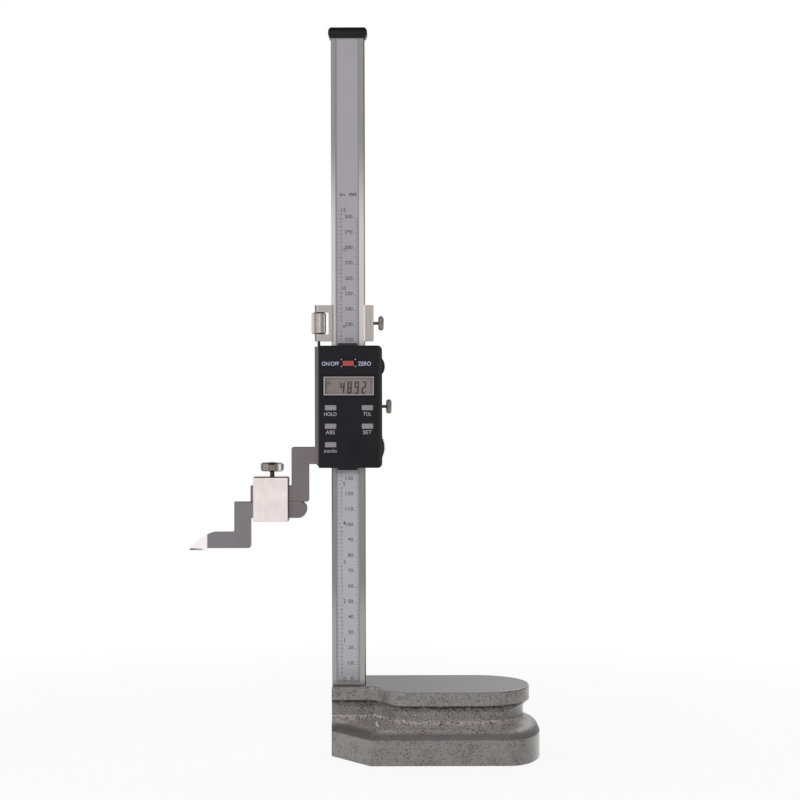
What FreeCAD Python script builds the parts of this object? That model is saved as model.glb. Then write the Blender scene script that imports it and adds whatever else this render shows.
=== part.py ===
import FreeCAD, Part

import math
import os

# Digital height gauge, 300 mm range, in millimetres.
# +Z is up, -Y is the side with the scale and the display, and -X is the side of the scriber.
# The origin is on the reference face under the base, on the axis of the beam.

# Clearances shared by all the fits
SLIDE_GAP = 0.06        # sliding faces
TURN_GAP = 0.05         # radial play of a screw or rod in its hole
SEAT_GAP = 0.05         # pieces that are dropped into a pocket

# Cast base
BASE_HEIGHT = 44.5
FOOT_LENGTH = 134.5
FOOT_WIDTH = 96.0
FOOT_NOSE = 28.0        # width of the foot at the beam's end
FOOT_CHAMFER_START = 0.3
FOOT_CHAMFER_RUN = 25.5
FOOT_EDGE = 16.0        # height of the foot's upright edge
FOOT_TAIL_FLAT = 8.0    # straight part of the foot's rounded end
FOOT_TAIL_RUN = 22.0    # length of the foot's rounded end
TOP_WIDTH = 76.0
TOP_NOSE = 24.6
TOP_TAIL_INSET = 6.5    # the top ends this far short of the foot
TOP_TAIL_FLAT = 6.0
TOP_LIP = 8.6           # upright part of the top's edge
TOP_ROUND = 1.0
NECK_RUN = 23.0         # straight sides beside the beam, before the top widens
SWEEP_RUN = 25.0        # length of the curve that widens the top
REAR_START = 0.8        # behind the beam the top widens from its nose on
REAR_RUN = 22.0
WAIST_DEPTH = 4.0       # the finger groove, measured from the top's side
WAIST_LOW = 26.5
WAIST_HIGH = 30.3
RELIEF_DEPTH = 1.5
RELIEF_RIM = 12.0
RELIEF_CORNER = 21.0
RELIEF_START = 30.0     # from the nose to the relieved part of the underside
# Ledge of the foot: shares of its height, and of its way in to the waist
LEDGE_PROFILE = [(0.0, 0.0), (0.24, 0.11), (0.44, 0.27), (0.58, 0.56), (0.7, 0.84), (0.85, 0.97), (1.0, 1.0)]
COVE_SECTIONS = 5       # sections of the hollow under the top

# Beam, its scale and its cap
BEAM_WIDTH = 22.0
BEAM_THICKNESS = 8.0
BEAM_LENGTH = 455.9
BEAM_BEVEL = 0.7
BEAM_SOCKET = 30.5      # depth of the slot in the base
SCALE_WIDTH = 15.2
SCALE_SHIFT = -0.5
SCALE_THICKNESS = 0.5
SCALE_START = 1.5       # above the top of the base
SCALE_END = 5.9         # below the end of the beam
CAP_HEIGHT = 7.0
CAP_SIDE = 1.85         # how far the cap's edge bulges past the beam
CAP_COVER = 5.2         # how deep the beam stands in the cap
BEAM_SCREW_RADIUS = 2.5
BEAM_SCREW_HEAD = 4.25
BEAM_SCREW_SINK = 2.0   # head below the reference face
BEAM_SCREW_HEAD_HEIGHT = 5.0
BEAM_SCREW_GRIP = 10.0  # thread in the beam
BEAM_SCREW_PITCH = 13.0
HEX_KEY = 4.0

# Slider frame and its stepped jaw
SLIDER_Z = 225.2        # middle of the slider, as it stands in the picture
FRAME_HEIGHT = 78.0
FRAME_LEFT_WALL = 10.7
FRAME_RIGHT_WALL = 7.9
FRAME_LIP = 1.3         # front lip: its thickness and its hold on the beam
FRAME_CHAMFER = 2.5
GIB_THICKNESS = 1.5
GIB_END = 1.5           # the gib stops short of the frame's ends
BACK_PLATE_THICKNESS = 3.0
BACK_PLATE_EDGE = 1.2
JAW_THICKNESS = 9.0
JAW_TOP = -26.2         # from the middle of the slider
JAW_ARM = 11.1
JAW_LIMB_GAP = 4.0
JAW_LIMB = 11.25
JAW_DROP = 35.5
JAW_BAR = 10.4
JAW_BAR_LENGTH = 26.7
JAW_CORNER = 1.4
EDGE_BREAK = 0.3        # small bevel along the front edges of jaw and scriber

# Screws of the slider
SMALL_SCREW_RADIUS = 1.0
SMALL_SCREW_HEAD = 1.9
SMALL_SCREW_HEAD_HEIGHT = 1.0
SCREW_INSET_Z = 6.0     # housing screws, from the ends of the frame
PLATE_SCREW_Z = 19.0    # plate screws, from the middle of the frame
PLATE_SCREW_LENGTH = 7.0
WALL_SCREW_X = 4.0      # screws, from the channel
SET_SCREW_RADIUS = 1.5
SET_SCREW_LENGTH = 6.0
SET_SCREW_POINT = 0.75
SET_SCREW_BITE = 0.5
SET_SCREW_RISE = 6.0    # from the housing screws to the set screws
SLOT_WIDTH = 0.6
SLOT_DEPTH = 0.6

# Electronics housing
HOUSING_WIDTH = 41.0
HOUSING_LAP = 0.4       # past both ends of the frame
HOUSING_DEPTH = 11.6
HOUSING_SHIFT = 1.5
HOUSING_WALL = 1.6
HOUSING_CORNER = 2.8    # on the right, and small on the left
HOUSING_EDGE = 0.9
BOSS_RADIUS = 2.3
BOARD_THICKNESS = 1.0
BOARD_GAP = 0.4
SENSOR_WIDTH = 18.8
SENSOR_LENGTH = 62.0
SENSOR_THICKNESS = 0.9
WIPER_WIDTH = 12.2
WIPER_STANDOUT = 1.8
WIPER_DEPTH = 2.0
WIPER_LENGTH = 4.4

# Display
DISPLAY_X = 0.55
DISPLAY_DOWN = 25.7     # from the top of the frame to its middle
LENS_WIDTH = 32.3
LENS_HEIGHT = 12.8
LENS_THICKNESS = 1.2
LENS_BEVEL = 1.25
LENS_BEVEL_DEPTH = 0.6
LENS_BORDER = 0.85      # recess around the lens
LENS_LEDGE = 1.1
RECESS_DEPTH = 0.7
LCD_THICKNESS = 2.0
ZEBRA_WIDTH = 1.4

# Keys
KEY_WIDTH = 7.3
KEY_HEIGHT = 3.3
KEY_STANDOUT = 0.5
KEY_LEFT_X = -11.1
KEY_RIGHT_X = 12.6
KEY_TOP_Z = -0.6        # from the middle of the slider
KEY_PITCH = 11.9
KEY_CORNER = 0.4
KEY_FLANGE = 0.7
KEY_FLANGE_THICKNESS = 0.8
KEY_STEM = 1.4
KEY_TRAVEL = 0.6
RED_KEY_WIDTH = 7.6
RED_KEY_HEIGHT = 3.8
RED_KEY_X = 0.3
RED_KEY_DOWN = 11.0     # from the top of the frame
RED_RECESS = 1.1
DOME_RADIUS = 2.0
DOME_HEIGHT = 0.6
KEY_CLEARANCE = 0.12

# Battery, its bay and its cover
COVER_START_X = 1.1
COVER_HEIGHT = 15.0
COVER_RISE = 6.8        # from the lower housing screws to its middle
COVER_TONGUE = 0.5
COVER_TONGUE_THICKNESS = 0.6
COVER_END_DEPTH = 8.0
COVER_SWELL = 1.8
COVER_SWELL_LENGTH = 13.9
COVER_TEETH = 9
COVER_TOOTH_DEPTH = 0.5
COVER_GROOVES = 6
COVER_GROOVE_PITCH = 1.85
COVER_GROOVE_LENGTH = 10.0
COVER_GROOVE_WIDTH = 0.7
COVER_GROOVE_DEPTH = 0.35
BATTERY_RADIUS = 5.8
BATTERY_THICKNESS = 5.4
BATTERY_STEP = 1.0
BATTERY_X = 11.0
CONTACT_THICKNESS = 0.3
CONTACT_WIDTH = 4.0

# Data port
PORT_CLEAR = 0.6        # below the boss of the upper housing screw
PORT_COVER_LENGTH = 10.4
PORT_COVER_DEPTH = 6.4
PORT_SWELL = 1.8
PORT_OPENING_LENGTH = 8.2
PORT_OPENING_DEPTH = 3.6
PORT_PLUG = 1.3
CONNECTOR_DEPTH = 5.0
CONTACT_PINS = 4

# Lock screws of the slider and of the fine adjustment carrier
LOCK_RADIUS = 1.0
LOCK_KNOB_RADIUS = 4.6
LOCK_KNOB_WIDTH = 3.5
LOCK_KNOB_ROUND = 0.9
LOCK_KNURLS = 28
KNURL_DEPTH = 0.25
SLIDER_KNOB_STANDOUT = 4.0
CARRIER_KNOB_STANDOUT = 3.1

# Fine adjustment carrier
CARRIER_GAP = 3.5
CARRIER_HEIGHT = 23.4
CARRIER_LEFT_END = 10.7
CARRIER_RIGHT_WALL = 4.1
CARRIER_RIGHT_LIP = 0.9
CARRIER_GIB = 1.2
CARRIER_ROUND = 2.6
CARRIER_WINDOW = 14.4
CARRIER_WEB = 1.65
CARRIER_SCREW_RADIUS = 0.8
CARRIER_SCREW_HEAD = 1.5
CARRIER_SCREW_LENGTH = 6.5
CARRIER_SCREW_INSET = 2.15

# Fine adjustment rod and nut
ROD_RADIUS = 1.0
ROD_X = -8.2            # from the beam's edge
ROD_ROOT = 8.0
ROD_LENGTH = 33.0
NUT_RADIUS = 4.7
NUT_END_GAP = 0.15
NUT_CHAMFER = 0.9
NUT_KNURLS = 36

# Scriber clamp
CLAMP_WIDTH = 23.0
CLAMP_X = 13.3          # from the limb's left face to the middle of the clamp
CLAMP_SIDE_WALL = 3.0
CLAMP_BOTTOM_WALL = 2.2
CLAMP_TOP_WALL = 5.8
CLAMP_CHAMFER = 0.6
WING_SCREW_RADIUS = 1.5
WING_SHIFT = 0.5        # from the middle of the clamp
WING_SPAN = 15.1
WING_HEIGHT = 5.8
WING_THICKNESS = 2.6
WING_ROUND = 1.9
WING_DISH = 0.5
WING_RIM = 0.9
WING_LIFT = 3.3         # from the clamp to the underside of the wings
WING_HUB = 2.3
WING_HUB_TOP = 3.3
WING_CROWN = 0.5
WING_TURN = -18.0

# Scriber and its carbide tip
SCRIBER_BAR = 10.5
SCRIBER_TAIL = 9.9     # from the limb's left face to the rounded end
SCRIBER_TAIL_TOP = 4.1
SCRIBER_TAIL_BOTTOM = 5.8
SCRIBER_LIMB = 10.6
SCRIBER_DROP = 30.0
SCRIBER_FOOT = 10.3
SCRIBER_FOOT_LENGTH = 28.1
SCRIBER_CORNER = 1.4
SCRIBER_INNER = 1.6
SLOPE_RUN = 4.0
TIP_LENGTH = 12.5
TIP_DROP = 1.8
TIP_HEEL = 3.0
TIP_EDGE = 2.2          # thickness of the tip at its point
TIP_FACET = 1.6
TIP_BULGE = 1.9

ALONG = {"x": FreeCAD.Vector(1, 0, 0), "y": FreeCAD.Vector(0, 1, 0), "z": FreeCAD.Vector(0, 0, 1)}


# Outlines and plain solids

def point(x, y, z=0.0):
    return FreeCAD.Vector(x, y, z)


def placed(flat, axis, level):
    """A point of a flat outline, set into the plane across the axis at that level."""
    if axis == "x":
        return point(level, flat.x, flat.y)
    if axis == "y":
        return point(flat.x, level, flat.y)
    return point(flat.x, flat.y, level)


def outline(corners, axis, level):
    """A closed wire through (u, v, radius) corners, each rounded by its own radius."""
    count = len(corners)
    stops = []
    for i, (u, v, radius) in enumerate(corners):
        here = point(u, v)
        back = (point(*corners[i - 1][:2]) - here).normalize()
        ahead = (point(*corners[(i + 1) % count][:2]) - here).normalize()
        if radius == 0:
            stops.append((here, None, here))
            continue
        half = back.getAngle(ahead) / 2
        reach = radius / math.tan(half)
        middle = here + (back + ahead).normalize() * (radius / math.sin(half) - radius)
        stops.append((here + back * reach, middle, here + ahead * reach))
    edges = []
    for i, (start, middle, end) in enumerate(stops):
        following = stops[(i + 1) % count][0]
        if middle is not None:
            arc = Part.Arc(*[placed(p, axis, level) for p in (start, middle, end)])
            edges.append(arc.toShape())
        if (following - end).Length > 1e-6:
            line = Part.LineSegment(placed(end, axis, level), placed(following, axis, level))
            edges.append(line.toShape())
    return Part.Wire(edges)


def prism(corners, axis, start, end):
    """The outline as a solid, from one level to the other along the axis."""
    return Part.Face(outline(corners, axis, start)).extrude(ALONG[axis] * (end - start))


def rectangle(u0, u1, v0, v1, radius=0.0):
    return [(u0, v0, radius), (u1, v0, radius), (u1, v1, radius), (u0, v1, radius)]


def block(x0, x1, y0, y1, z0, z1):
    return Part.makeBox(x1 - x0, y1 - y0, z1 - z0, point(x0, y0, z0))


def round_bar(radius, start, end):
    return Part.makeCylinder(radius, (end - start).Length, start, end - start)


def taper(radius_start, radius_end, start, end):
    return Part.makeCone(radius_start, radius_end, (end - start).Length, start, end - start)


def turned(profile, axis, origin):
    """A solid of revolution from (radius, height) points, its heights along the axis."""
    wire = Part.makePolygon([point(r, 0, h) for r, h in profile + profile[:1]])
    solid = Part.Face(wire).revolve(point(0, 0, 0), point(0, 0, 1), 360)
    if axis == "x":
        solid.rotate(point(0, 0, 0), point(0, 1, 0), 90)
    if axis == "y":
        solid.rotate(point(0, 0, 0), point(1, 0, 0), -90)
    solid.translate(origin)
    return solid


def rim_edges(shape, axis, level):
    """The edges that lie in the plane across the axis at that level."""
    here = {"x": lambda v: v.X, "y": lambda v: v.Y, "z": lambda v: v.Z}[axis]
    return [e for e in shape.Edges if all(abs(here(v) - level) < 1e-6 for v in e.Vertexes)]


def knurled(radius, knurls, width, shoulder, hole=0.0):
    """A knob about Z from height 0 to width: straight V grooves round a barrel with bevelled shoulders."""
    step = math.pi / knurls
    rim = [radius, radius - KNURL_DEPTH]
    star = [(rim[i % 2] * math.cos(i * step), rim[i % 2] * math.sin(i * step), 0)
            for i in range(2 * knurls)]
    barrel = turned([(0, 0), (radius - shoulder, 0), (radius, shoulder), (radius, width - shoulder),
                     (radius - shoulder, width), (0, width)], "z", point(0, 0, 0))
    knob = prism(star, "z", 0, width).common(barrel)
    if hole:
        knob = knob.cut(round_bar(hole, point(0, 0, -1), point(0, 0, width + 1)))
    return knob


# Levels and edges worked out from the sizes

BEAM_EDGE = BEAM_WIDTH / 2
BEAM_FRONT = -BEAM_THICKNESS / 2
BEAM_BACK = BEAM_THICKNESS / 2
NOSE_X = -BEAM_EDGE
TAIL_X = NOSE_X + FOOT_LENGTH
FOOT_CORNER = (FOOT_WIDTH - FOOT_TAIL_FLAT) / 2
TOP_CORNER = (TOP_WIDTH - TOP_TAIL_FLAT) / 2
SOCKET_FLOOR = BASE_HEIGHT - BEAM_SOCKET
BEAM_TOP = SOCKET_FLOOR + BEAM_LENGTH

CHANNEL_LEFT = -BEAM_EDGE - SLIDE_GAP
CHANNEL_FRONT = BEAM_FRONT - SLIDE_GAP
CHANNEL_BACK = BEAM_BACK + SLIDE_GAP
GIB_FACE = BEAM_EDGE + SLIDE_GAP
FRAME_FRONT = CHANNEL_FRONT - FRAME_LIP
FRAME_CHANNEL_RIGHT = GIB_FACE + GIB_THICKNESS + SEAT_GAP
FRAME_LEFT = CHANNEL_LEFT - FRAME_LEFT_WALL
FRAME_RIGHT = FRAME_CHANNEL_RIGHT + FRAME_RIGHT_WALL
FRAME_BOTTOM = SLIDER_Z - FRAME_HEIGHT / 2
FRAME_TOP = SLIDER_Z + FRAME_HEIGHT / 2
LEFT_SCREW_X = CHANNEL_LEFT - WALL_SCREW_X
RIGHT_SCREW_X = FRAME_CHANNEL_RIGHT + WALL_SCREW_X

JAW_FRONT = CHANNEL_BACK - JAW_THICKNESS
JAW_MIDDLE_Y = CHANNEL_BACK - JAW_THICKNESS / 2
JAW_TOP_Z = SLIDER_Z + JAW_TOP
LIMB_RIGHT = FRAME_LEFT - JAW_LIMB_GAP
LIMB_LEFT = LIMB_RIGHT - JAW_LIMB
BAR_BOTTOM = JAW_TOP_Z - JAW_DROP
BAR_TOP = BAR_BOTTOM + JAW_BAR
BAR_LEFT = LIMB_LEFT - JAW_BAR_LENGTH

HOUSING_LEFT = HOUSING_SHIFT - HOUSING_WIDTH / 2
HOUSING_RIGHT = HOUSING_SHIFT + HOUSING_WIDTH / 2
HOUSING_BOTTOM = FRAME_BOTTOM - HOUSING_LAP
HOUSING_TOP = FRAME_TOP + HOUSING_LAP
HOUSING_FRONT = FRAME_FRONT - HOUSING_DEPTH
WALL_INSIDE = HOUSING_FRONT + HOUSING_WALL
BOARD_FRONT = FRAME_FRONT - BOARD_THICKNESS
LOW_SCREWS_Z = FRAME_BOTTOM + SCREW_INSET_Z
HIGH_SCREWS_Z = FRAME_TOP - SCREW_INSET_Z
DISPLAY_Z = FRAME_TOP - DISPLAY_DOWN
RED_KEY_Z = FRAME_TOP - RED_KEY_DOWN
COVER_Z = LOW_SCREWS_Z + COVER_RISE
PORT_Y = (HOUSING_FRONT + FRAME_FRONT) / 2
PORT_Z = HIGH_SCREWS_Z - BOSS_RADIUS - PORT_CLEAR - PORT_OPENING_LENGTH / 2

CARRIER_BOTTOM = FRAME_TOP + CARRIER_GAP
CARRIER_TOP = CARRIER_BOTTOM + CARRIER_HEIGHT
CARRIER_MIDDLE = CARRIER_BOTTOM + CARRIER_HEIGHT / 2
CARRIER_LEFT = CHANNEL_LEFT - CARRIER_LEFT_END
CARRIER_CHANNEL_RIGHT = GIB_FACE + CARRIER_GIB + SEAT_GAP
CARRIER_RIGHT = CARRIER_CHANNEL_RIGHT + CARRIER_RIGHT_WALL
ROD_AXIS_X = ROD_X - BEAM_EDGE
ROD_AXIS_Y = (FRAME_FRONT + CHANNEL_BACK) / 2
LOCK_AXIS_Y = (CHANNEL_FRONT + CHANNEL_BACK) / 2

SCRIBER_TOP = BAR_BOTTOM - SLIDE_GAP
SCRIBER_RIGHT = LIMB_LEFT + SCRIBER_TAIL
SCRIBER_LIMB_RIGHT = BAR_LEFT
SCRIBER_LIMB_LEFT = SCRIBER_LIMB_RIGHT - SCRIBER_LIMB
SCRIBER_BOTTOM = SCRIBER_TOP - SCRIBER_DROP
SCRIBER_FOOT_TOP = SCRIBER_BOTTOM + SCRIBER_FOOT
SCRIBER_FOOT_LEFT = SCRIBER_LIMB_RIGHT - SCRIBER_FOOT_LENGTH
SCRIBER_FRONT = JAW_FRONT
SCRIBER_BACK = CHANNEL_BACK
MEASURING_Z = SCRIBER_BOTTOM - TIP_DROP

CLAMP_MIDDLE_X = LIMB_LEFT - CLAMP_X
WING_X = CLAMP_MIDDLE_X + WING_SHIFT
CLAMP_LEFT = CLAMP_MIDDLE_X - CLAMP_WIDTH / 2
CLAMP_RIGHT = CLAMP_MIDDLE_X + CLAMP_WIDTH / 2
POCKET_FRONT = JAW_FRONT - SLIDE_GAP
POCKET_BACK = CHANNEL_BACK + SLIDE_GAP
POCKET_BOTTOM = SCRIBER_TOP - SCRIBER_BAR - SLIDE_GAP
POCKET_TOP = BAR_TOP + SLIDE_GAP
CLAMP_BOTTOM = POCKET_BOTTOM - CLAMP_BOTTOM_WALL
CLAMP_TOP = POCKET_TOP + CLAMP_TOP_WALL


# Cast base: foot, finger groove and top

def base_plan(nose, side, tail, corner_run, corner, front_bend, rear_bend, pull, lean):
    """Numbers of one level's plan: half widths, the rounded tail, and the curves that widen the nose."""
    return [nose, side, tail, corner_run, corner, *front_bend, *rear_bend, pull, lean]


def mixed(first, second, share):
    return [a + (b - a) * share for a, b in zip(first, second)]


def quarter_oval(centre, first, second):
    """A quarter of an ellipse about its centre, or of a circle where both of its ends are as far out."""
    if abs(centre.distanceToPoint(first) - centre.distanceToPoint(second)) < 1e-7:
        middle = centre + (first + second - centre * 2) * math.sqrt(0.5)
        return Part.Arc(first, middle, second).toShape()
    if centre.distanceToPoint(first) > centre.distanceToPoint(second):
        oval = Part.Ellipse(first, second, centre)
    else:
        oval = Part.Ellipse(second, first, centre)
    return Part.ArcOfEllipse(oval, 0, math.pi / 2).toShape()


def plan_wire(plan, level):
    """The plan as a wire: flat nose, curved shoulders, straight sides and a rounded tail."""
    nose, side, tail, corner_run, corner, front_start, front_end, rear_start, rear_end, pull, lean = plan
    rise = side - nose
    edges = []
    for sign, bend_start, bend_end in ((-1, front_start, front_end), (1, rear_start, rear_end)):
        run = bend_end - bend_start
        shoulder = [(bend_start, nose), (bend_start + run * pull, nose + rise * lean),
                    (bend_end - run * pull, side - rise * lean), (bend_end, side)]

        def at(x, y):
            return point(x, sign * y, level)
        widening = Part.BezierCurve()
        widening.setPoles([at(x, y) for x, y in shoulder])
        half = [
            Part.LineSegment(at(NOSE_X, nose), at(bend_start, nose)).toShape(),
            widening.toShape(),
            Part.LineSegment(at(bend_end, side), at(tail - corner_run, side)).toShape(),
            quarter_oval(at(tail - corner_run, side - corner), at(tail - corner_run, side),
                         at(tail, side - corner)),
        ]
        edges.append(half)
    front, rear = edges
    tail_line = Part.LineSegment(point(tail, corner - side, level), point(tail, side - corner, level))
    nose_line = Part.LineSegment(point(NOSE_X, nose, level), point(NOSE_X, -nose, level))
    return Part.Wire(front + [tail_line.toShape()] + rear[::-1] + [nose_line.toShape()])


def base_casting():
    chamfer = [NOSE_X + FOOT_CHAMFER_START, NOSE_X + FOOT_CHAMFER_RUN]
    foot = base_plan(FOOT_NOSE / 2, FOOT_WIDTH / 2, TAIL_X, FOOT_TAIL_RUN, FOOT_CORNER,
                     chamfer, chamfer, 1 / 3, 1 / 3)
    front_bend = [NOSE_X + NECK_RUN, NOSE_X + NECK_RUN + SWEEP_RUN]
    rear_bend = [NOSE_X + REAR_START, NOSE_X + REAR_START + REAR_RUN]
    top = base_plan(TOP_NOSE / 2, TOP_WIDTH / 2, TAIL_X - TOP_TAIL_INSET, TOP_CORNER, TOP_CORNER,
                    front_bend, rear_bend, 0.5, 0.0)
    waist = base_plan(TOP_NOSE / 2 - WAIST_DEPTH, TOP_WIDTH / 2 - WAIST_DEPTH,
                      TAIL_X - TOP_TAIL_INSET - WAIST_DEPTH,
                      TOP_CORNER - WAIST_DEPTH, TOP_CORNER - WAIST_DEPTH,
                      [x + WAIST_DEPTH / 2 for x in front_bend],
                      [x + WAIST_DEPTH / 2 for x in rear_bend], 0.5, 0.0)
    lip = BASE_HEIGHT - TOP_LIP
    lower = [plan_wire(mixed(foot, waist, inward), FOOT_EDGE + (WAIST_LOW - FOOT_EDGE) * upward)
             for upward, inward in LEDGE_PROFILE]
    upper = []
    for i in range(COVE_SECTIONS):
        share = i / (COVE_SECTIONS - 1)
        level = WAIST_HIGH + (lip - WAIST_HIGH) * share
        upper.append(plan_wire(mixed(waist, top, share * share), level))
    neck = Part.Face(plan_wire(waist, WAIST_LOW)).extrude(point(0, 0, WAIST_HIGH - WAIST_LOW))
    foot_slab = Part.Face(plan_wire(foot, 0)).extrude(point(0, 0, FOOT_EDGE))
    top_slab = Part.Face(plan_wire(top, lip)).extrude(point(0, 0, TOP_LIP))
    top_slab = top_slab.makeFillet(TOP_ROUND, rim_edges(top_slab, "z", BASE_HEIGHT))
    casting = foot_slab.fuse([Part.makeLoft(lower, True), neck, Part.makeLoft(upper, True), top_slab])

    slot = block(NOSE_X - 1, BEAM_EDGE + SEAT_GAP, BEAM_FRONT - SEAT_GAP, BEAM_BACK + SEAT_GAP,
                 SOCKET_FLOOR, BASE_HEIGHT + 1)
    relief = prism(rectangle(NOSE_X + RELIEF_START, TAIL_X - RELIEF_RIM,
                             RELIEF_RIM - FOOT_WIDTH / 2, FOOT_WIDTH / 2 - RELIEF_RIM, RELIEF_CORNER),
                   "z", -1, RELIEF_DEPTH)
    cuts = [slot, relief]
    head_top = BEAM_SCREW_SINK + BEAM_SCREW_HEAD_HEIGHT
    for x in beam_screw_places():
        cuts.append(round_bar(BEAM_SCREW_HEAD + SEAT_GAP * 3, point(x, 0, -1), point(x, 0, head_top)))
        cuts.append(round_bar(BEAM_SCREW_RADIUS + SEAT_GAP * 3, point(x, 0, 0),
                              point(x, 0, SOCKET_FLOOR + 1)))
    return casting.cut(cuts)


def beam_screw_places():
    return [-BEAM_SCREW_PITCH / 2, BEAM_SCREW_PITCH / 2]


# Beam with its scale, cap and screws

def beam():
    bevel = BEAM_BEVEL
    corners = [(-BEAM_EDGE, BEAM_BACK, 0), (-BEAM_EDGE, BEAM_FRONT + bevel, 0),
               (-BEAM_EDGE + bevel, BEAM_FRONT, 0), (BEAM_EDGE - bevel, BEAM_FRONT, 0),
               (BEAM_EDGE, BEAM_FRONT + bevel, 0), (BEAM_EDGE, BEAM_BACK, 0)]
    bar = prism(corners, "z", SOCKET_FLOOR, BEAM_TOP)
    left, right, bottom, top = scale_box()
    cuts = [block(left - SEAT_GAP, right + SEAT_GAP, BEAM_FRONT - 1, BEAM_FRONT + SCALE_THICKNESS,
                  bottom - SEAT_GAP, top + SEAT_GAP)]
    for x in beam_screw_places():
        cuts.append(round_bar(BEAM_SCREW_RADIUS + TURN_GAP, point(x, 0, SOCKET_FLOOR - 1),
                              point(x, 0, SOCKET_FLOOR + BEAM_SCREW_GRIP + 2)))
    return bar.cut(cuts)


def scale_box():
    """Left, right, bottom and top of the scale plate."""
    left = SCALE_SHIFT - SCALE_WIDTH / 2
    return left, left + SCALE_WIDTH, BASE_HEIGHT + SCALE_START, BEAM_TOP - SCALE_END


def scale_plate():
    left, right, bottom, top = scale_box()
    return block(left, right, BEAM_FRONT, BEAM_FRONT + SCALE_THICKNESS, bottom, top)


def bulged(half, low, high, swell, axis, start, end):
    """A slab whose two sides swell outwards as arcs between the low and high levels."""
    middle = (low + high) / 2
    turns = [[(-half, low), (half, low)], [(half + swell, middle), (half, high), (-half, high)],
             [(-half - swell, middle)]]
    low_left, low_right = [placed(point(*p), axis, start) for p in turns[0]]
    bulge_right, high_right, high_left = [placed(point(*p), axis, start) for p in turns[1]]
    bulge_left = placed(point(*turns[2][0]), axis, start)
    edges = [Part.LineSegment(low_left, low_right), Part.Arc(low_right, bulge_right, high_right),
             Part.LineSegment(high_right, high_left), Part.Arc(high_left, bulge_left, low_left)]
    wire = Part.Wire([e.toShape() for e in edges])
    return Part.Face(wire).extrude(ALONG[axis] * (end - start))


def beam_cap():
    low = BEAM_TOP - CAP_COVER
    high = low + CAP_HEIGHT
    reach_x = BEAM_EDGE + CAP_SIDE
    reach_y = BEAM_BACK + CAP_SIDE
    slab = bulged(BEAM_EDGE - SEAT_GAP * 2, low, high, CAP_SIDE, "y", -reach_y, reach_y)
    depth = bulged(BEAM_BACK - SEAT_GAP * 2, low, high, CAP_SIDE, "x", -reach_x, reach_x)
    ends = prism(rectangle(-reach_x, reach_x, -reach_y, reach_y, CAP_SIDE), "z", low, high)
    cap = slab.common(depth).common(ends)
    edge_x = BEAM_EDGE - SEAT_GAP * 2
    skirt = block(-BEAM_EDGE - SEAT_GAP, BEAM_EDGE + SEAT_GAP, BEAM_FRONT - SEAT_GAP,
                  BEAM_BACK + SEAT_GAP, low - 1, BEAM_TOP)
    rim = prism(rectangle(-edge_x - 1, edge_x + 1, BEAM_FRONT - 1, BEAM_BACK + 1, 1.0), "z", low, low + 1)
    return cap.fuse(rim).cut(skirt)


def beam_screws():
    screws = []
    head_top = BEAM_SCREW_SINK + BEAM_SCREW_HEAD_HEIGHT
    hexagon = [(HEX_KEY / math.sqrt(3) * math.cos(math.radians(60 * i)),
                HEX_KEY / math.sqrt(3) * math.sin(math.radians(60 * i)), 0) for i in range(6)]
    for x in beam_screw_places():
        head = round_bar(BEAM_SCREW_HEAD, point(x, 0, BEAM_SCREW_SINK), point(x, 0, head_top))
        shank = round_bar(BEAM_SCREW_RADIUS, point(x, 0, head_top - 1),
                          point(x, 0, SOCKET_FLOOR + BEAM_SCREW_GRIP))
        key = prism([(x + u, v, 0) for u, v, _ in hexagon], "z", BEAM_SCREW_SINK - 1,
                    BEAM_SCREW_SINK + BEAM_SCREW_HEAD_HEIGHT / 2)
        screws.append(head.fuse(shank).cut(key))
    return screws


# Slider frame with its stepped jaw

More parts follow.
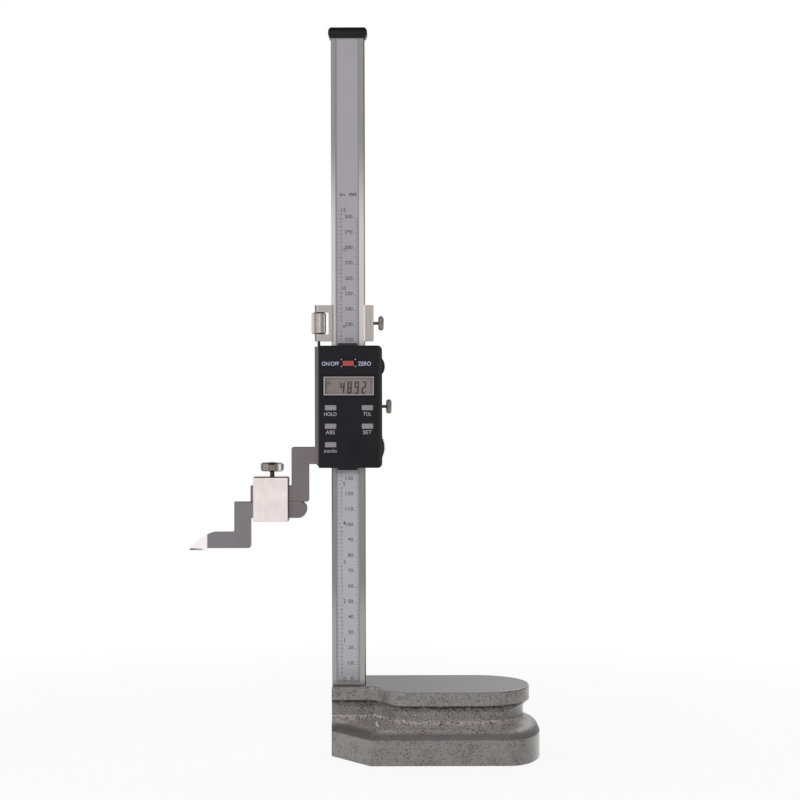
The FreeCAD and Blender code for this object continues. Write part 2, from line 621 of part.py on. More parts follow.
def slider_frame():
    chamfer = FRAME_CHAMFER
    corners = [(FRAME_LEFT, FRAME_TOP, 0), (FRAME_LEFT, FRAME_BOTTOM + chamfer, 0),
               (FRAME_LEFT + chamfer, FRAME_BOTTOM, 0), (FRAME_RIGHT, FRAME_BOTTOM, 0),
               (FRAME_RIGHT, FRAME_TOP, 0)]
    plate = prism(corners, "y", FRAME_FRONT, CHANNEL_BACK)
    inside = FRAME_LEFT + chamfer
    arm_bottom = JAW_TOP_Z - JAW_ARM
    jaw = prism([(inside, JAW_TOP_Z, 0), (LIMB_LEFT, JAW_TOP_Z, JAW_CORNER), (LIMB_LEFT, BAR_TOP, 0),
                 (BAR_LEFT, BAR_TOP, 0), (BAR_LEFT, BAR_BOTTOM, 0), (LIMB_RIGHT, BAR_BOTTOM, JAW_CORNER),
                 (LIMB_RIGHT, arm_bottom, 0), (inside, arm_bottom, 0)], "y", JAW_FRONT, CHANNEL_BACK)
    jaw = jaw.makeChamfer(EDGE_BREAK, rim_edges(jaw, "y", JAW_FRONT))
    frame = plate.fuse(jaw)
    channel = block(CHANNEL_LEFT, FRAME_CHANNEL_RIGHT, CHANNEL_FRONT, CHANNEL_BACK + 1,
                    FRAME_BOTTOM - 1, FRAME_TOP + 1)
    edge = BEAM_EDGE - FRAME_LIP
    cuts = [channel] + [block(-edge, edge, FRAME_FRONT - 1, CHANNEL_FRONT + 1, low, high)
                        for low, high in frame_windows()]
    cuts.append(round_bar(ROD_RADIUS + TURN_GAP, point(ROD_AXIS_X, ROD_AXIS_Y, FRAME_TOP - ROD_ROOT),
                          point(ROD_AXIS_X, ROD_AXIS_Y, FRAME_TOP + 1)))
    for radius, z in [(LOCK_RADIUS, SLIDER_Z)] + [(SET_SCREW_RADIUS, z) for z in set_screw_levels()]:
        cuts.append(round_bar(radius + TURN_GAP, point(FRAME_CHANNEL_RIGHT - 0.5, LOCK_AXIS_Y, z),
                              point(FRAME_RIGHT + 1, LOCK_AXIS_Y, z)))
    for x, z in housing_screw_places():
        cuts.append(round_bar(SMALL_SCREW_RADIUS + TURN_GAP, point(x, FRAME_FRONT - 1, z),
                              point(x, CHANNEL_BACK + 1, z)))
    for x, z in plate_screw_places():
        tip = CHANNEL_BACK + BACK_PLATE_THICKNESS - PLATE_SCREW_LENGTH
        cuts.append(round_bar(SMALL_SCREW_RADIUS + TURN_GAP, point(x, tip - 0.5, z),
                              point(x, CHANNEL_BACK + 1, z)))
    return frame.cut(cuts)


def frame_windows():
    """Bottom and top of the openings in the frame's front: for the sensor, and at each end for a wiper."""
    notch = WIPER_LENGTH - WIPER_STANDOUT - HOUSING_LAP + SEAT_GAP
    half = SENSOR_LENGTH / 2 + SEAT_GAP
    return [(FRAME_BOTTOM - 1, FRAME_BOTTOM + notch), (SLIDER_Z - half, SLIDER_Z + half),
            (FRAME_TOP - notch, FRAME_TOP + 1)]


def housing_screw_places():
    return [(x, z) for z in (LOW_SCREWS_Z, HIGH_SCREWS_Z) for x in (LEFT_SCREW_X, RIGHT_SCREW_X)]


def plate_screw_places():
    levels = (SLIDER_Z - PLATE_SCREW_Z, SLIDER_Z + PLATE_SCREW_Z)
    return [(x, z) for z in levels for x in (LEFT_SCREW_X, RIGHT_SCREW_X)]


def countersunk(x, z, back, length, radius, head):
    """A flat-headed screw along Y: its head flush with the back face and its tip to the front."""
    head_front = back - SMALL_SCREW_HEAD_HEIGHT
    shank = round_bar(radius, point(x, back - length, z), point(x, head_front + 0.2, z))
    cone = taper(radius, head, point(x, head_front, z), point(x, back, z))
    slot = block(x - head, x + head, back - SLOT_DEPTH, back + 1, z - SLOT_WIDTH / 2, z + SLOT_WIDTH / 2)
    return shank.fuse(cone).cut(slot)


def sink(x, z, front, back, radius, head):
    """The hole and countersink that such a screw needs in a plate."""
    gap = TURN_GAP
    hole = round_bar(radius + gap, point(x, front - 1, z), point(x, back + 1, z))
    cone = taper(radius + gap, head + gap, point(x, back - SMALL_SCREW_HEAD_HEIGHT, z), point(x, back, z))
    return hole.fuse(cone)


def slider_back_plate():
    front = CHANNEL_BACK
    back = front + BACK_PLATE_THICKNESS
    edge = BACK_PLATE_EDGE
    plate = prism(rectangle(FRAME_LEFT + edge, FRAME_RIGHT - edge, FRAME_BOTTOM + edge + FRAME_CHAMFER,
                            FRAME_TOP - edge, edge), "y", front, back)
    places = housing_screw_places() + plate_screw_places()
    return plate.cut([sink(x, z, front, back, SMALL_SCREW_RADIUS, SMALL_SCREW_HEAD) for x, z in places])


def plate_screws():
    back = CHANNEL_BACK + BACK_PLATE_THICKNESS
    return [countersunk(x, z, back, PLATE_SCREW_LENGTH, SMALL_SCREW_RADIUS, SMALL_SCREW_HEAD)
            for x, z in plate_screw_places()]


def housing_screws():
    back = CHANNEL_BACK + BACK_PLATE_THICKNESS
    length = back - FRAME_FRONT + HOUSING_DEPTH / 2
    return [countersunk(x, z, back, length, SMALL_SCREW_RADIUS, SMALL_SCREW_HEAD)
            for x, z in housing_screw_places()]


def slider_gib():
    gib = block(GIB_FACE, GIB_FACE + GIB_THICKNESS, BEAM_FRONT, BEAM_BACK,
                FRAME_BOTTOM + GIB_END, FRAME_TOP - GIB_END)
    back = GIB_FACE + GIB_THICKNESS
    dimples = [round_bar(SET_SCREW_POINT + TURN_GAP, point(back - SET_SCREW_BITE, LOCK_AXIS_Y, z),
                         point(back + 1, LOCK_AXIS_Y, z)) for z in set_screw_levels()]
    return gib.cut(dimples)


def set_screw_levels():
    return [LOW_SCREWS_Z + SET_SCREW_RISE, HIGH_SCREWS_Z - SET_SCREW_RISE]


def gib_set_screws():
    """Slotted set screws with a dog point that sits in the gib."""
    start = GIB_FACE + GIB_THICKNESS - SET_SCREW_BITE
    shoulder = FRAME_CHANNEL_RIGHT
    end = shoulder + SET_SCREW_LENGTH
    screws = []
    for z in set_screw_levels():
        point_bar = round_bar(SET_SCREW_POINT, point(start, LOCK_AXIS_Y, z),
                              point(shoulder + 1, LOCK_AXIS_Y, z))
        body = round_bar(SET_SCREW_RADIUS, point(shoulder, LOCK_AXIS_Y, z), point(end, LOCK_AXIS_Y, z))
        slot = block(end - SLOT_DEPTH, end + 1, LOCK_AXIS_Y - SLOT_WIDTH / 2, LOCK_AXIS_Y + SLOT_WIDTH / 2,
                     z - SET_SCREW_RADIUS, z + SET_SCREW_RADIUS)
        screws.append(point_bar.fuse(body).cut(slot))
    return screws


# Lock screws

def lock_screw(tip_x, knob_x, z):
    """A knurled thumb screw along X."""
    knob = knurled(LOCK_KNOB_RADIUS, LOCK_KNURLS, LOCK_KNOB_WIDTH, LOCK_KNOB_ROUND)
    knob.rotate(point(0, 0, 0), point(0, 1, 0), 90)
    knob.translate(point(knob_x, LOCK_AXIS_Y, z))
    shank = round_bar(LOCK_RADIUS, point(tip_x, LOCK_AXIS_Y, z), point(knob_x + 1, LOCK_AXIS_Y, z))
    return knob.fuse(shank)


def slider_lock_screw():
    return lock_screw(GIB_FACE + GIB_THICKNESS + SEAT_GAP, FRAME_RIGHT + SLIDER_KNOB_STANDOUT, SLIDER_Z)


def carrier_lock_screw():
    return lock_screw(GIB_FACE + CARRIER_GIB + SEAT_GAP, CARRIER_RIGHT + CARRIER_KNOB_STANDOUT,
                      CARRIER_MIDDLE)


# Housing of the electronics

def key_places():
    """Name, middle x and middle z of each plain key."""
    top = SLIDER_Z + KEY_TOP_Z
    return [("hold_key", KEY_LEFT_X, top), ("absolute_key", KEY_LEFT_X, top - KEY_PITCH),
            ("unit_key", KEY_LEFT_X, top - 2 * KEY_PITCH), ("tolerance_key", KEY_RIGHT_X, top),
            ("preset_key", KEY_RIGHT_X, top - KEY_PITCH)]


def centred(x, z, width, height, radius=0.0):
    return rectangle(x - width / 2, x + width / 2, z - height / 2, z + height / 2, radius)


def housing_shell():
    corner = HOUSING_CORNER
    small = HOUSING_EDGE
    corners = [(HOUSING_LEFT, HOUSING_BOTTOM, small), (HOUSING_RIGHT, HOUSING_BOTTOM, corner),
               (HOUSING_RIGHT, HOUSING_TOP, corner), (HOUSING_LEFT, HOUSING_TOP, small)]
    shell = prism(corners, "y", HOUSING_FRONT, FRAME_FRONT)
    shell = shell.makeFillet(HOUSING_EDGE / 1.2, rim_edges(shell, "y", HOUSING_FRONT))
    wall = HOUSING_WALL
    cavity = prism(rectangle(HOUSING_LEFT + wall, HOUSING_RIGHT - wall, HOUSING_BOTTOM + wall,
                             HOUSING_TOP - wall, 0.6), "y", WALL_INSIDE, FRAME_FRONT + 1)
    shell = shell.cut(cavity)
    for x, z in housing_screw_places():
        shell = shell.fuse(round_bar(BOSS_RADIUS, point(x, WALL_INSIDE - 0.5, z), point(x, FRAME_FRONT, z)))
    cuts = []
    for x, z in housing_screw_places():
        deep = FRAME_FRONT - HOUSING_DEPTH / 2 - 0.5
        cuts.append(round_bar(SMALL_SCREW_RADIUS + TURN_GAP, point(x, deep, z), point(x, FRAME_FRONT + 1, z)))
    cuts += display_cuts() + key_cuts() + wiper_cuts() + cover_cuts() + port_cuts()
    return shell.cut(cuts)


def display_cuts():
    """Recess round the lens, the lens's seat and the opening behind it."""
    x, z = DISPLAY_X, DISPLAY_Z
    recess = HOUSING_FRONT + RECESS_DEPTH
    seat = lens_back()
    outer = centred(x, z, LENS_WIDTH + 2 * LENS_BORDER, LENS_HEIGHT + 2 * LENS_BORDER, LENS_BORDER)
    middle = centred(x, z, LENS_WIDTH + 2 * SEAT_GAP, LENS_HEIGHT + 2 * SEAT_GAP)
    inner = centred(x, z, LENS_WIDTH - 2 * LENS_LEDGE, LENS_HEIGHT - 2 * LENS_LEDGE)
    return [prism(outer, "y", HOUSING_FRONT - 1, recess), prism(middle, "y", recess - 0.5, seat),
            prism(inner, "y", seat - 0.5, WALL_INSIDE + 0.5)]


def lens_back():
    return HOUSING_FRONT + LENS_THICKNESS


def key_cuts():
    gap = 2 * KEY_CLEARANCE
    cuts = [prism(centred(x, z, KEY_WIDTH + gap, KEY_HEIGHT + gap, KEY_CORNER), "y",
                  HOUSING_FRONT - 1, WALL_INSIDE + 0.5) for _, x, z in key_places()]
    z = RED_KEY_Z
    cuts.append(prism(centred(RED_KEY_X, z, RED_KEY_WIDTH + gap, RED_KEY_HEIGHT + gap, KEY_CORNER), "y",
                      HOUSING_FRONT - 1, WALL_INSIDE + 0.5))
    cuts.append(prism(centred(RED_KEY_X, z, RED_KEY_WIDTH + 2 * RED_RECESS, RED_KEY_HEIGHT + 2 * RED_RECESS,
                              RED_RECESS), "y", HOUSING_FRONT - 1, HOUSING_FRONT + RECESS_DEPTH))
    return cuts


def wiper_box(z_low, z_high, gap):
    left = SCALE_SHIFT - WIPER_WIDTH / 2 - gap
    right = SCALE_SHIFT + WIPER_WIDTH / 2 + gap
    return block(left, right, FRAME_FRONT - WIPER_DEPTH - gap, FRAME_FRONT + 1, z_low, z_high)


def wiper_cuts():
    wall = HOUSING_WALL + 1
    return [wiper_box(HOUSING_TOP - wall, HOUSING_TOP + 1, SEAT_GAP),
            wiper_box(HOUSING_BOTTOM - 1, HOUSING_BOTTOM + wall, SEAT_GAP)]


def dust_wipers():
    """Felt blocks at both ends of the housing, just clear of the scale."""
    wipers = []
    half = WIPER_WIDTH / 2
    front = FRAME_FRONT - WIPER_DEPTH
    back = BEAM_FRONT - 0.25
    for end, way in ((HOUSING_TOP, 1), (HOUSING_BOTTOM, -1)):
        outer = end + way * WIPER_STANDOUT
        inner = outer - way * WIPER_LENGTH
        wipers.append(block(SCALE_SHIFT - half, SCALE_SHIFT + half, front, back,
                            min(outer, inner), max(outer, inner)))
    return wipers


# Display, boards and contacts

def display_lens():
    x, z = DISPLAY_X, DISPLAY_Z
    front = HOUSING_FRONT + 0.1
    slope = front + LENS_BEVEL_DEPTH
    slab = prism(centred(x, z, LENS_WIDTH, LENS_HEIGHT), "y", slope, lens_back())
    wide = outline(centred(x, z, LENS_WIDTH, LENS_HEIGHT), "y", slope)
    narrow = outline(centred(x, z, LENS_WIDTH - 2 * LENS_BEVEL, LENS_HEIGHT - 2 * LENS_BEVEL), "y", front)
    return slab.fuse(Part.makeLoft([narrow, wide], True, True)).removeSplitter()


def display_panel():
    x, z = DISPLAY_X, DISPLAY_Z
    front = WALL_INSIDE + SEAT_GAP
    return prism(centred(x, z, LENS_WIDTH - 0.6, LENS_HEIGHT - 0.6), "y", front, front + LCD_THICKNESS)


def zebra_strips():
    """Rubber contact strips between the display and the board."""
    x, z = DISPLAY_X, DISPLAY_Z
    front = WALL_INSIDE + SEAT_GAP + LCD_THICKNESS
    offset = LENS_HEIGHT / 2 - ZEBRA_WIDTH
    return [prism(centred(x, z + way * offset, LENS_WIDTH - 4, ZEBRA_WIDTH), "y", front, BOARD_FRONT)
            for way in (-1, 1)]


def main_board():
    gap = HOUSING_WALL + BOARD_GAP
    board = prism(rectangle(HOUSING_LEFT + gap, HOUSING_RIGHT - gap, HOUSING_BOTTOM + gap,
                            HOUSING_TOP - gap), "y", BOARD_FRONT, FRAME_FRONT)
    cuts = [round_bar(BOSS_RADIUS + BOARD_GAP, point(x, BOARD_FRONT - 1, z), point(x, FRAME_FRONT + 1, z))
            for x, z in housing_screw_places()]
    reach = WIPER_LENGTH
    cuts.append(wiper_box(HOUSING_TOP - reach, HOUSING_TOP + 1, BOARD_GAP))
    cuts.append(wiper_box(HOUSING_BOTTOM - 1, HOUSING_BOTTOM + reach, BOARD_GAP))
    return board.cut(cuts)


def sensor_strip():
    return block(-SENSOR_WIDTH / 2, SENSOR_WIDTH / 2, FRAME_FRONT, FRAME_FRONT + SENSOR_THICKNESS,
                 SLIDER_Z - SENSOR_LENGTH / 2, SLIDER_Z + SENSOR_LENGTH / 2)


def key(x, z, width, height):
    """A key cap with a flange behind the front wall and a stem towards its contact."""
    face = HOUSING_FRONT - KEY_STANDOUT
    cap = prism(centred(x, z, width, height, KEY_CORNER), "y", face, WALL_INSIDE + 0.5)
    cap = cap.makeChamfer(KEY_CORNER / 2, rim_edges(cap, "y", face))
    seat = WALL_INSIDE + SEAT_GAP
    flange = prism(centred(x, z, width + 2 * KEY_FLANGE, height + 2 * KEY_FLANGE), "y",
                   seat, seat + KEY_FLANGE_THICKNESS)
    stem_end = BOARD_FRONT - DOME_HEIGHT - KEY_TRAVEL - SEAT_GAP
    stem = round_bar(KEY_STEM, point(x, seat, z), point(x, stem_end, z))
    return cap.fuse([flange, stem])


def red_key():
    return key(RED_KEY_X, RED_KEY_Z, RED_KEY_WIDTH, RED_KEY_HEIGHT)


def key_domes():
    """Snap domes on the board, one behind each key."""
    places = [(x, z) for _, x, z in key_places()] + [(RED_KEY_X, RED_KEY_Z)]
    return [taper(DOME_RADIUS, DOME_RADIUS / 2, point(x, BOARD_FRONT, z),
                  point(x, BOARD_FRONT - DOME_HEIGHT, z)) for x, z in places]


# Battery bay

def cover_levels():
    return COVER_Z - COVER_HEIGHT / 2, COVER_Z + COVER_HEIGHT / 2


def cover_end_back():
    return HOUSING_FRONT + COVER_END_DEPTH


def cover_cuts():
    """Opening for the battery cover, with a groove for its tongues, and the gap in the side wall."""
    low, high = cover_levels()
    gap = SLIDE_GAP
    groove_front = HOUSING_FRONT + (HOUSING_WALL - COVER_TONGUE_THICKNESS) / 2 - gap
    groove_back = groove_front + COVER_TONGUE_THICKNESS + 2 * gap
    right = HOUSING_RIGHT + 1
    face = block(COVER_START_X - gap, right, HOUSING_FRONT - 1, WALL_INSIDE + 0.5, low - gap, high + gap)
    grooves = block(COVER_START_X - gap, right, groove_front, groove_back,
                    low - COVER_TONGUE - gap, high + COVER_TONGUE + gap)
    side = block(HOUSING_RIGHT - HOUSING_WALL - gap, right, HOUSING_FRONT, cover_end_back() + gap,
                 low - gap, high + gap)
    return [face, grooves, side]


def swell_prism(height, length, middle_z, front, back, root):
    """A shallow arc on the housing's right side, with a root that reaches into the wall."""
    low = placed(point(HOUSING_RIGHT, middle_z - length / 2), "y", front)
    top = placed(point(HOUSING_RIGHT + height, middle_z), "y", front)
    high = placed(point(HOUSING_RIGHT, middle_z + length / 2), "y", front)
    root_high = placed(point(HOUSING_RIGHT - root, middle_z + length / 2), "y", front)
    root_low = placed(point(HOUSING_RIGHT - root, middle_z - length / 2), "y", front)
    edges = [Part.Arc(low, top, high), Part.LineSegment(high, root_high),
             Part.LineSegment(root_high, root_low), Part.LineSegment(root_low, low)]
    return Part.Face(Part.Wire([e.toShape() for e in edges])).extrude(point(0, back - front, 0))


def battery_cover():
    """A sliding cover: ribbed face, tongues along both edges, and a toothed swell for the thumb."""
    low, high = cover_levels()
    tongue_front = HOUSING_FRONT + (HOUSING_WALL - COVER_TONGUE_THICKNESS) / 2
    face = block(COVER_START_X, HOUSING_RIGHT, HOUSING_FRONT, WALL_INSIDE, low, high)
    tongues = block(COVER_START_X, HOUSING_RIGHT - HOUSING_EDGE, tongue_front,
                    tongue_front + COVER_TONGUE_THICKNESS, low - COVER_TONGUE, high + COVER_TONGUE)
    end = block(HOUSING_RIGHT - HOUSING_WALL, HOUSING_RIGHT, HOUSING_FRONT, cover_end_back(), low, high)
    swell = swell_prism(COVER_SWELL, COVER_SWELL_LENGTH, COVER_Z, HOUSING_FRONT + HOUSING_EDGE,
                        cover_end_back(), HOUSING_WALL / 2)
    cover = face.fuse([tongues, end, swell])
    cuts = []
    half = COVER_SWELL_LENGTH / 2
    radius = (half * half + COVER_SWELL * COVER_SWELL) / (2 * COVER_SWELL)
    centre_x = HOUSING_RIGHT + COVER_SWELL - radius
    spread = 2 * math.asin(half / radius) * 0.8
    for i in range(COVER_TEETH):
        angle = spread * (i / (COVER_TEETH - 1) - 0.5)
        x = centre_x + radius * math.cos(angle)
        z = COVER_Z + radius * math.sin(angle)
        cuts.append(round_bar(COVER_TOOTH_DEPTH, point(x, HOUSING_FRONT - 1, z),
                              point(x, cover_end_back() + 1, z)))
    start = COVER_START_X + COVER_GROOVE_WIDTH
    for i in range(COVER_GROOVES):
        z = COVER_Z + COVER_GROOVE_PITCH * (i - (COVER_GROOVES - 1) / 2)
        cuts.append(block(start, start + COVER_GROOVE_LENGTH, HOUSING_FRONT - 1,
                          HOUSING_FRONT + COVER_GROOVE_DEPTH, z - COVER_GROOVE_WIDTH / 2,
                          z + COVER_GROOVE_WIDTH / 2))
    return cover.cut(cuts)


def battery():
    """A button cell with its stepped negative face to the rear."""
    z = COVER_Z
    front = WALL_INSIDE + SEAT_GAP
    step = front + BATTERY_THICKNESS - BATTERY_STEP
    can = round_bar(BATTERY_RADIUS, point(BATTERY_X, front, z), point(BATTERY_X, step, z))
    cap = round_bar(BATTERY_RADIUS - BATTERY_STEP, point(BATTERY_X, step - 0.5, z),
                    point(BATTERY_X, front + BATTERY_THICKNESS, z))
    return can.fuse(cap)


def battery_contacts():
    """Two bent strips on the board: one under the cell and one against its side."""
    z = COVER_Z
    thick = CONTACT_THICKNESS
    half = CONTACT_WIDTH / 2
    near = WALL_INSIDE + SEAT_GAP + BATTERY_THICKNESS
    far = near + thick
    foot_x = BATTERY_X - BATTERY_RADIUS + thick
    under = prism([(foot_x, BOARD_FRONT, 0), (foot_x, far, 0), (BATTERY_X, far, 0), (BATTERY_X, near, 0),
                   (foot_x - thick, near, 0), (foot_x - thick, BOARD_FRONT, 0)], "z", z - half, z + half)
    side_z = z + BATTERY_RADIUS + SEAT_GAP
    side_front = WALL_INSIDE + BATTERY_THICKNESS / 2
    side = block(BATTERY_X - half, BATTERY_X + half, side_front, BOARD_FRONT, side_z, side_z + thick)
    return [under, side]


# Data port

def port_cuts():
    y, z = PORT_Y, PORT_Z
    gap = SEAT_GAP
    half_y = PORT_OPENING_DEPTH / 2 + gap
    half_z = PORT_OPENING_LENGTH / 2 + gap
    return [block(HOUSING_RIGHT - HOUSING_WALL - 1, HOUSING_RIGHT + 1, y - half_y, y + half_y,
                  z - half_z, z + half_z)]


def port_cover():
    """A swollen cover on the side of the housing, with a plug that fits the port."""
    y, z = PORT_Y, PORT_Z
    front = y - PORT_COVER_DEPTH / 2
    skin = swell_prism(PORT_SWELL, PORT_COVER_LENGTH, z, front, front + PORT_COVER_DEPTH, 0.2)
    outside = block(HOUSING_RIGHT + SEAT_GAP, HOUSING_RIGHT + PORT_SWELL + 1, front - 1,
                    front + PORT_COVER_DEPTH + 1, z - PORT_COVER_LENGTH, z + PORT_COVER_LENGTH)
    plug = block(HOUSING_RIGHT - PORT_PLUG, HOUSING_RIGHT + 0.5, y - PORT_OPENING_DEPTH / 2,
                 y + PORT_OPENING_DEPTH / 2, z - PORT_OPENING_LENGTH / 2, z + PORT_OPENING_LENGTH / 2)
    return skin.common(outside).fuse(plug)


def data_connector():
    """The socket block on the board behind the port, with a row of contact wells."""
    y, z = PORT_Y, PORT_Z
    right = HOUSING_RIGHT - HOUSING_WALL - SEAT_GAP
    half_z = PORT_OPENING_LENGTH / 2
    body = block(right - CONNECTOR_DEPTH, right, y - PORT_OPENING_DEPTH / 2, BOARD_FRONT,
                 z - half_z, z + half_z)
    pitch = PORT_OPENING_LENGTH / (CONTACT_PINS + 1)
    wells = [round_bar(0.4, point(right - 2, y, z - half_z + pitch * (i + 1)),
                       point(right + 1, y, z - half_z + pitch * (i + 1))) for i in range(CONTACT_PINS)]
    return body.cut(wells)


# Fine adjustment carrier

def carrier_body():
    """A bracket that slides on the beam above the slider and holds the knurled nut in its window."""
    corners = [(CARRIER_LEFT, FRAME_FRONT, CARRIER_ROUND), (CARRIER_RIGHT, FRAME_FRONT, 0.5),
               (CARRIER_RIGHT, CHANNEL_BACK, 0), (CARRIER_LEFT, CHANNEL_BACK, CARRIER_ROUND)]
    body = prism(corners, "z", CARRIER_BOTTOM, CARRIER_TOP)
    channel = block(CHANNEL_LEFT, CARRIER_CHANNEL_RIGHT, CHANNEL_FRONT, CHANNEL_BACK + 1,
                    CARRIER_BOTTOM - 1, CARRIER_TOP + 1)
    front_gap = block(-BEAM_EDGE + FRAME_LIP, BEAM_EDGE - CARRIER_RIGHT_LIP, FRAME_FRONT - 1,
                      CHANNEL_FRONT + 1, CARRIER_BOTTOM - 1, CARRIER_TOP + 1)
    rod = round_bar(ROD_RADIUS + 3 * TURN_GAP, point(ROD_AXIS_X, ROD_AXIS_Y, CARRIER_BOTTOM - 1),
                    point(ROD_AXIS_X, ROD_AXIS_Y, CARRIER_TOP + 1))
    lock = round_bar(LOCK_RADIUS + TURN_GAP, point(CARRIER_CHANNEL_RIGHT - 0.5, LOCK_AXIS_Y, CARRIER_MIDDLE),
                     point(CARRIER_RIGHT + 1, LOCK_AXIS_Y, CARRIER_MIDDLE))
    tip = CHANNEL_BACK + BACK_PLATE_THICKNESS - CARRIER_SCREW_LENGTH
    screws = [round_bar(CARRIER_SCREW_RADIUS + TURN_GAP, point(x, tip - 0.3, z),
                        point(x, CHANNEL_BACK + 1, z)) for x, z in carrier_screw_places()]
    return body.cut([channel, front_gap, carrier_window(), rod, lock] + screws)


def carrier_window():
    """The gap for the nut, right through the carrier and its back plate and open to the left."""
    half = CARRIER_WINDOW / 2
    return block(CARRIER_LEFT - 1, CHANNEL_LEFT - CARRIER_WEB, FRAME_FRONT - 1,
                 CHANNEL_BACK + BACK_PLATE_THICKNESS + 1, CARRIER_MIDDLE - half, CARRIER_MIDDLE + half)


def carrier_screw_places():
    left = CHANNEL_LEFT - CARRIER_SCREW_INSET
    right = CARRIER_CHANNEL_RIGHT + CARRIER_RIGHT_WALL / 2
    levels = (CARRIER_BOTTOM + CARRIER_SCREW_INSET, CARRIER_TOP - CARRIER_SCREW_INSET)
    return [(x, z) for z in levels for x in (left, right)]


def carrier_back_plate():
    front = CHANNEL_BACK
    back = front + BACK_PLATE_THICKNESS
    left = CHANNEL_LEFT - 2 * CARRIER_SCREW_INSET
    plate = prism(rectangle(left, CARRIER_RIGHT, CARRIER_BOTTOM, CARRIER_TOP, 0.5), "y", front, back)
    holes = [sink(x, z, front, back, CARRIER_SCREW_RADIUS, CARRIER_SCREW_HEAD)
             for x, z in carrier_screw_places()]
    return plate.cut(holes + [carrier_window()])


def carrier_screws():
    back = CHANNEL_BACK + BACK_PLATE_THICKNESS
    return [countersunk(x, z, back, CARRIER_SCREW_LENGTH, CARRIER_SCREW_RADIUS, CARRIER_SCREW_HEAD)
            for x, z in carrier_screw_places()]


def carrier_gib():
    return block(GIB_FACE, GIB_FACE + CARRIER_GIB, BEAM_FRONT, BEAM_BACK, CARRIER_BOTTOM + 0.5,
                 CARRIER_TOP - 0.5)


def fine_adjust_rod():
    """A threaded rod fixed in the top of the slider frame."""
    start = FRAME_TOP - ROD_ROOT
    end = start + ROD_LENGTH
    profile = [(0, start), (ROD_RADIUS, start), (ROD_RADIUS, end - 0.4), (ROD_RADIUS - 0.4, end), (0, end)]
    return turned(profile, "z", point(ROD_AXIS_X, ROD_AXIS_Y, 0))


def fine_adjust_nut():
    width = CARRIER_WINDOW - 2 * NUT_END_GAP
    nut = knurled(NUT_RADIUS, NUT_KNURLS, width, NUT_CHAMFER, ROD_RADIUS + TURN_GAP)
    nut.translate(point(ROD_AXIS_X, ROD_AXIS_Y, CARRIER_MIDDLE - width / 2))
    return nut


# Scriber clamp

def scriber_clamp():
    """A box that holds the jaw's lower bar and the scriber's upper bar together."""
    corners = rectangle(POCKET_FRONT - CLAMP_SIDE_WALL, POCKET_BACK + CLAMP_SIDE_WALL, CLAMP_BOTTOM,
                        CLAMP_TOP)
    box = prism(corners, "x", CLAMP_LEFT, CLAMP_RIGHT)
    box = box.makeChamfer(CLAMP_CHAMFER, box.Edges)
    pocket = block(CLAMP_LEFT - 1, CLAMP_RIGHT + 1, POCKET_FRONT, POCKET_BACK, POCKET_BOTTOM, POCKET_TOP)
    thread = round_bar(WING_SCREW_RADIUS + TURN_GAP, point(WING_X, JAW_MIDDLE_Y, POCKET_TOP - 1),
                       point(WING_X, JAW_MIDDLE_Y, CLAMP_TOP + 1))
    return box.cut([pocket, thread])


def wing_screw():
    """A thumb screw with two dished wings on a flared hub."""
    low = WING_LIFT
    high = low + WING_HEIGHT
    half = WING_SPAN / 2
    depth = WING_THICKNESS / 2
    tip = BAR_TOP + SLIDE_GAP - CLAMP_TOP
    screw = turned([(0, tip), (WING_SCREW_RADIUS, tip), (WING_SCREW_RADIUS, low - 0.4),
                    (WING_HUB, low + 0.6), (WING_HUB, high - 1.6), (WING_HUB_TOP, high - 0.4),
                    (WING_HUB_TOP, high), (0, high + WING_CROWN)], "z", point(0, 0, 0))
    wings = prism(rectangle(-half, half, low, high, WING_ROUND), "y", -depth, depth)
    dishes = []
    for side in (-1, 1):
        inner, outer = side * (WING_HUB + WING_RIM / 2), side * (half - WING_RIM)
        dish = rectangle(min(inner, outer), max(inner, outer), low + WING_RIM, high - WING_RIM, WING_RIM)
        dishes.append(prism(dish, "y", -depth - 1, -depth + WING_DISH))
        dishes.append(prism(dish, "y", depth - WING_DISH, depth + 1))
    screw = wings.cut(dishes).fuse(screw)
    screw.rotate(point(0, 0, 0), point(0, 0, 1), WING_TURN)
    screw.translate(point(WING_X, JAW_MIDDLE_Y, CLAMP_TOP))
    return screw


# Scriber with its carbide tip

def nose_arc():
    """Start, middle and end of the arc from the top of the scriber's foot to its point."""
    start = point(SCRIBER_FOOT_LEFT + SLOPE_RUN, 0, SCRIBER_FOOT_TOP)
    end = point(SCRIBER_FOOT_LEFT - TIP_LENGTH, 0, MEASURING_Z)
    chord = end - start
    outward = point(chord.z, 0, -chord.x).normalize()
    return start, (start + end) * 0.5 + outward * TIP_BULGE, end


def tip_blank():
    """Everything under the nose arc and over the measuring face, from heel to point."""
    start, middle, end = nose_arc()
    right = SCRIBER_FOOT_LEFT + SLOPE_RUN
    heel_x = SCRIBER_FOOT_LEFT - TIP_HEEL
    edges = [Part.Arc(start, middle, end).toShape()]
    path = [end, point(heel_x, 0, MEASURING_Z), point(SCRIBER_FOOT_LEFT, 0, SCRIBER_BOTTOM),
            point(right, 0, SCRIBER_BOTTOM), start]
    edges += [Part.LineSegment(a, b).toShape() for a, b in zip(path, path[1:])]
    blank = Part.Face(Part.Wire(edges)).extrude(point(0, SCRIBER_BACK - SCRIBER_FRONT, 0))
    blank.translate(point(0, SCRIBER_FRONT, 0))
    return blank


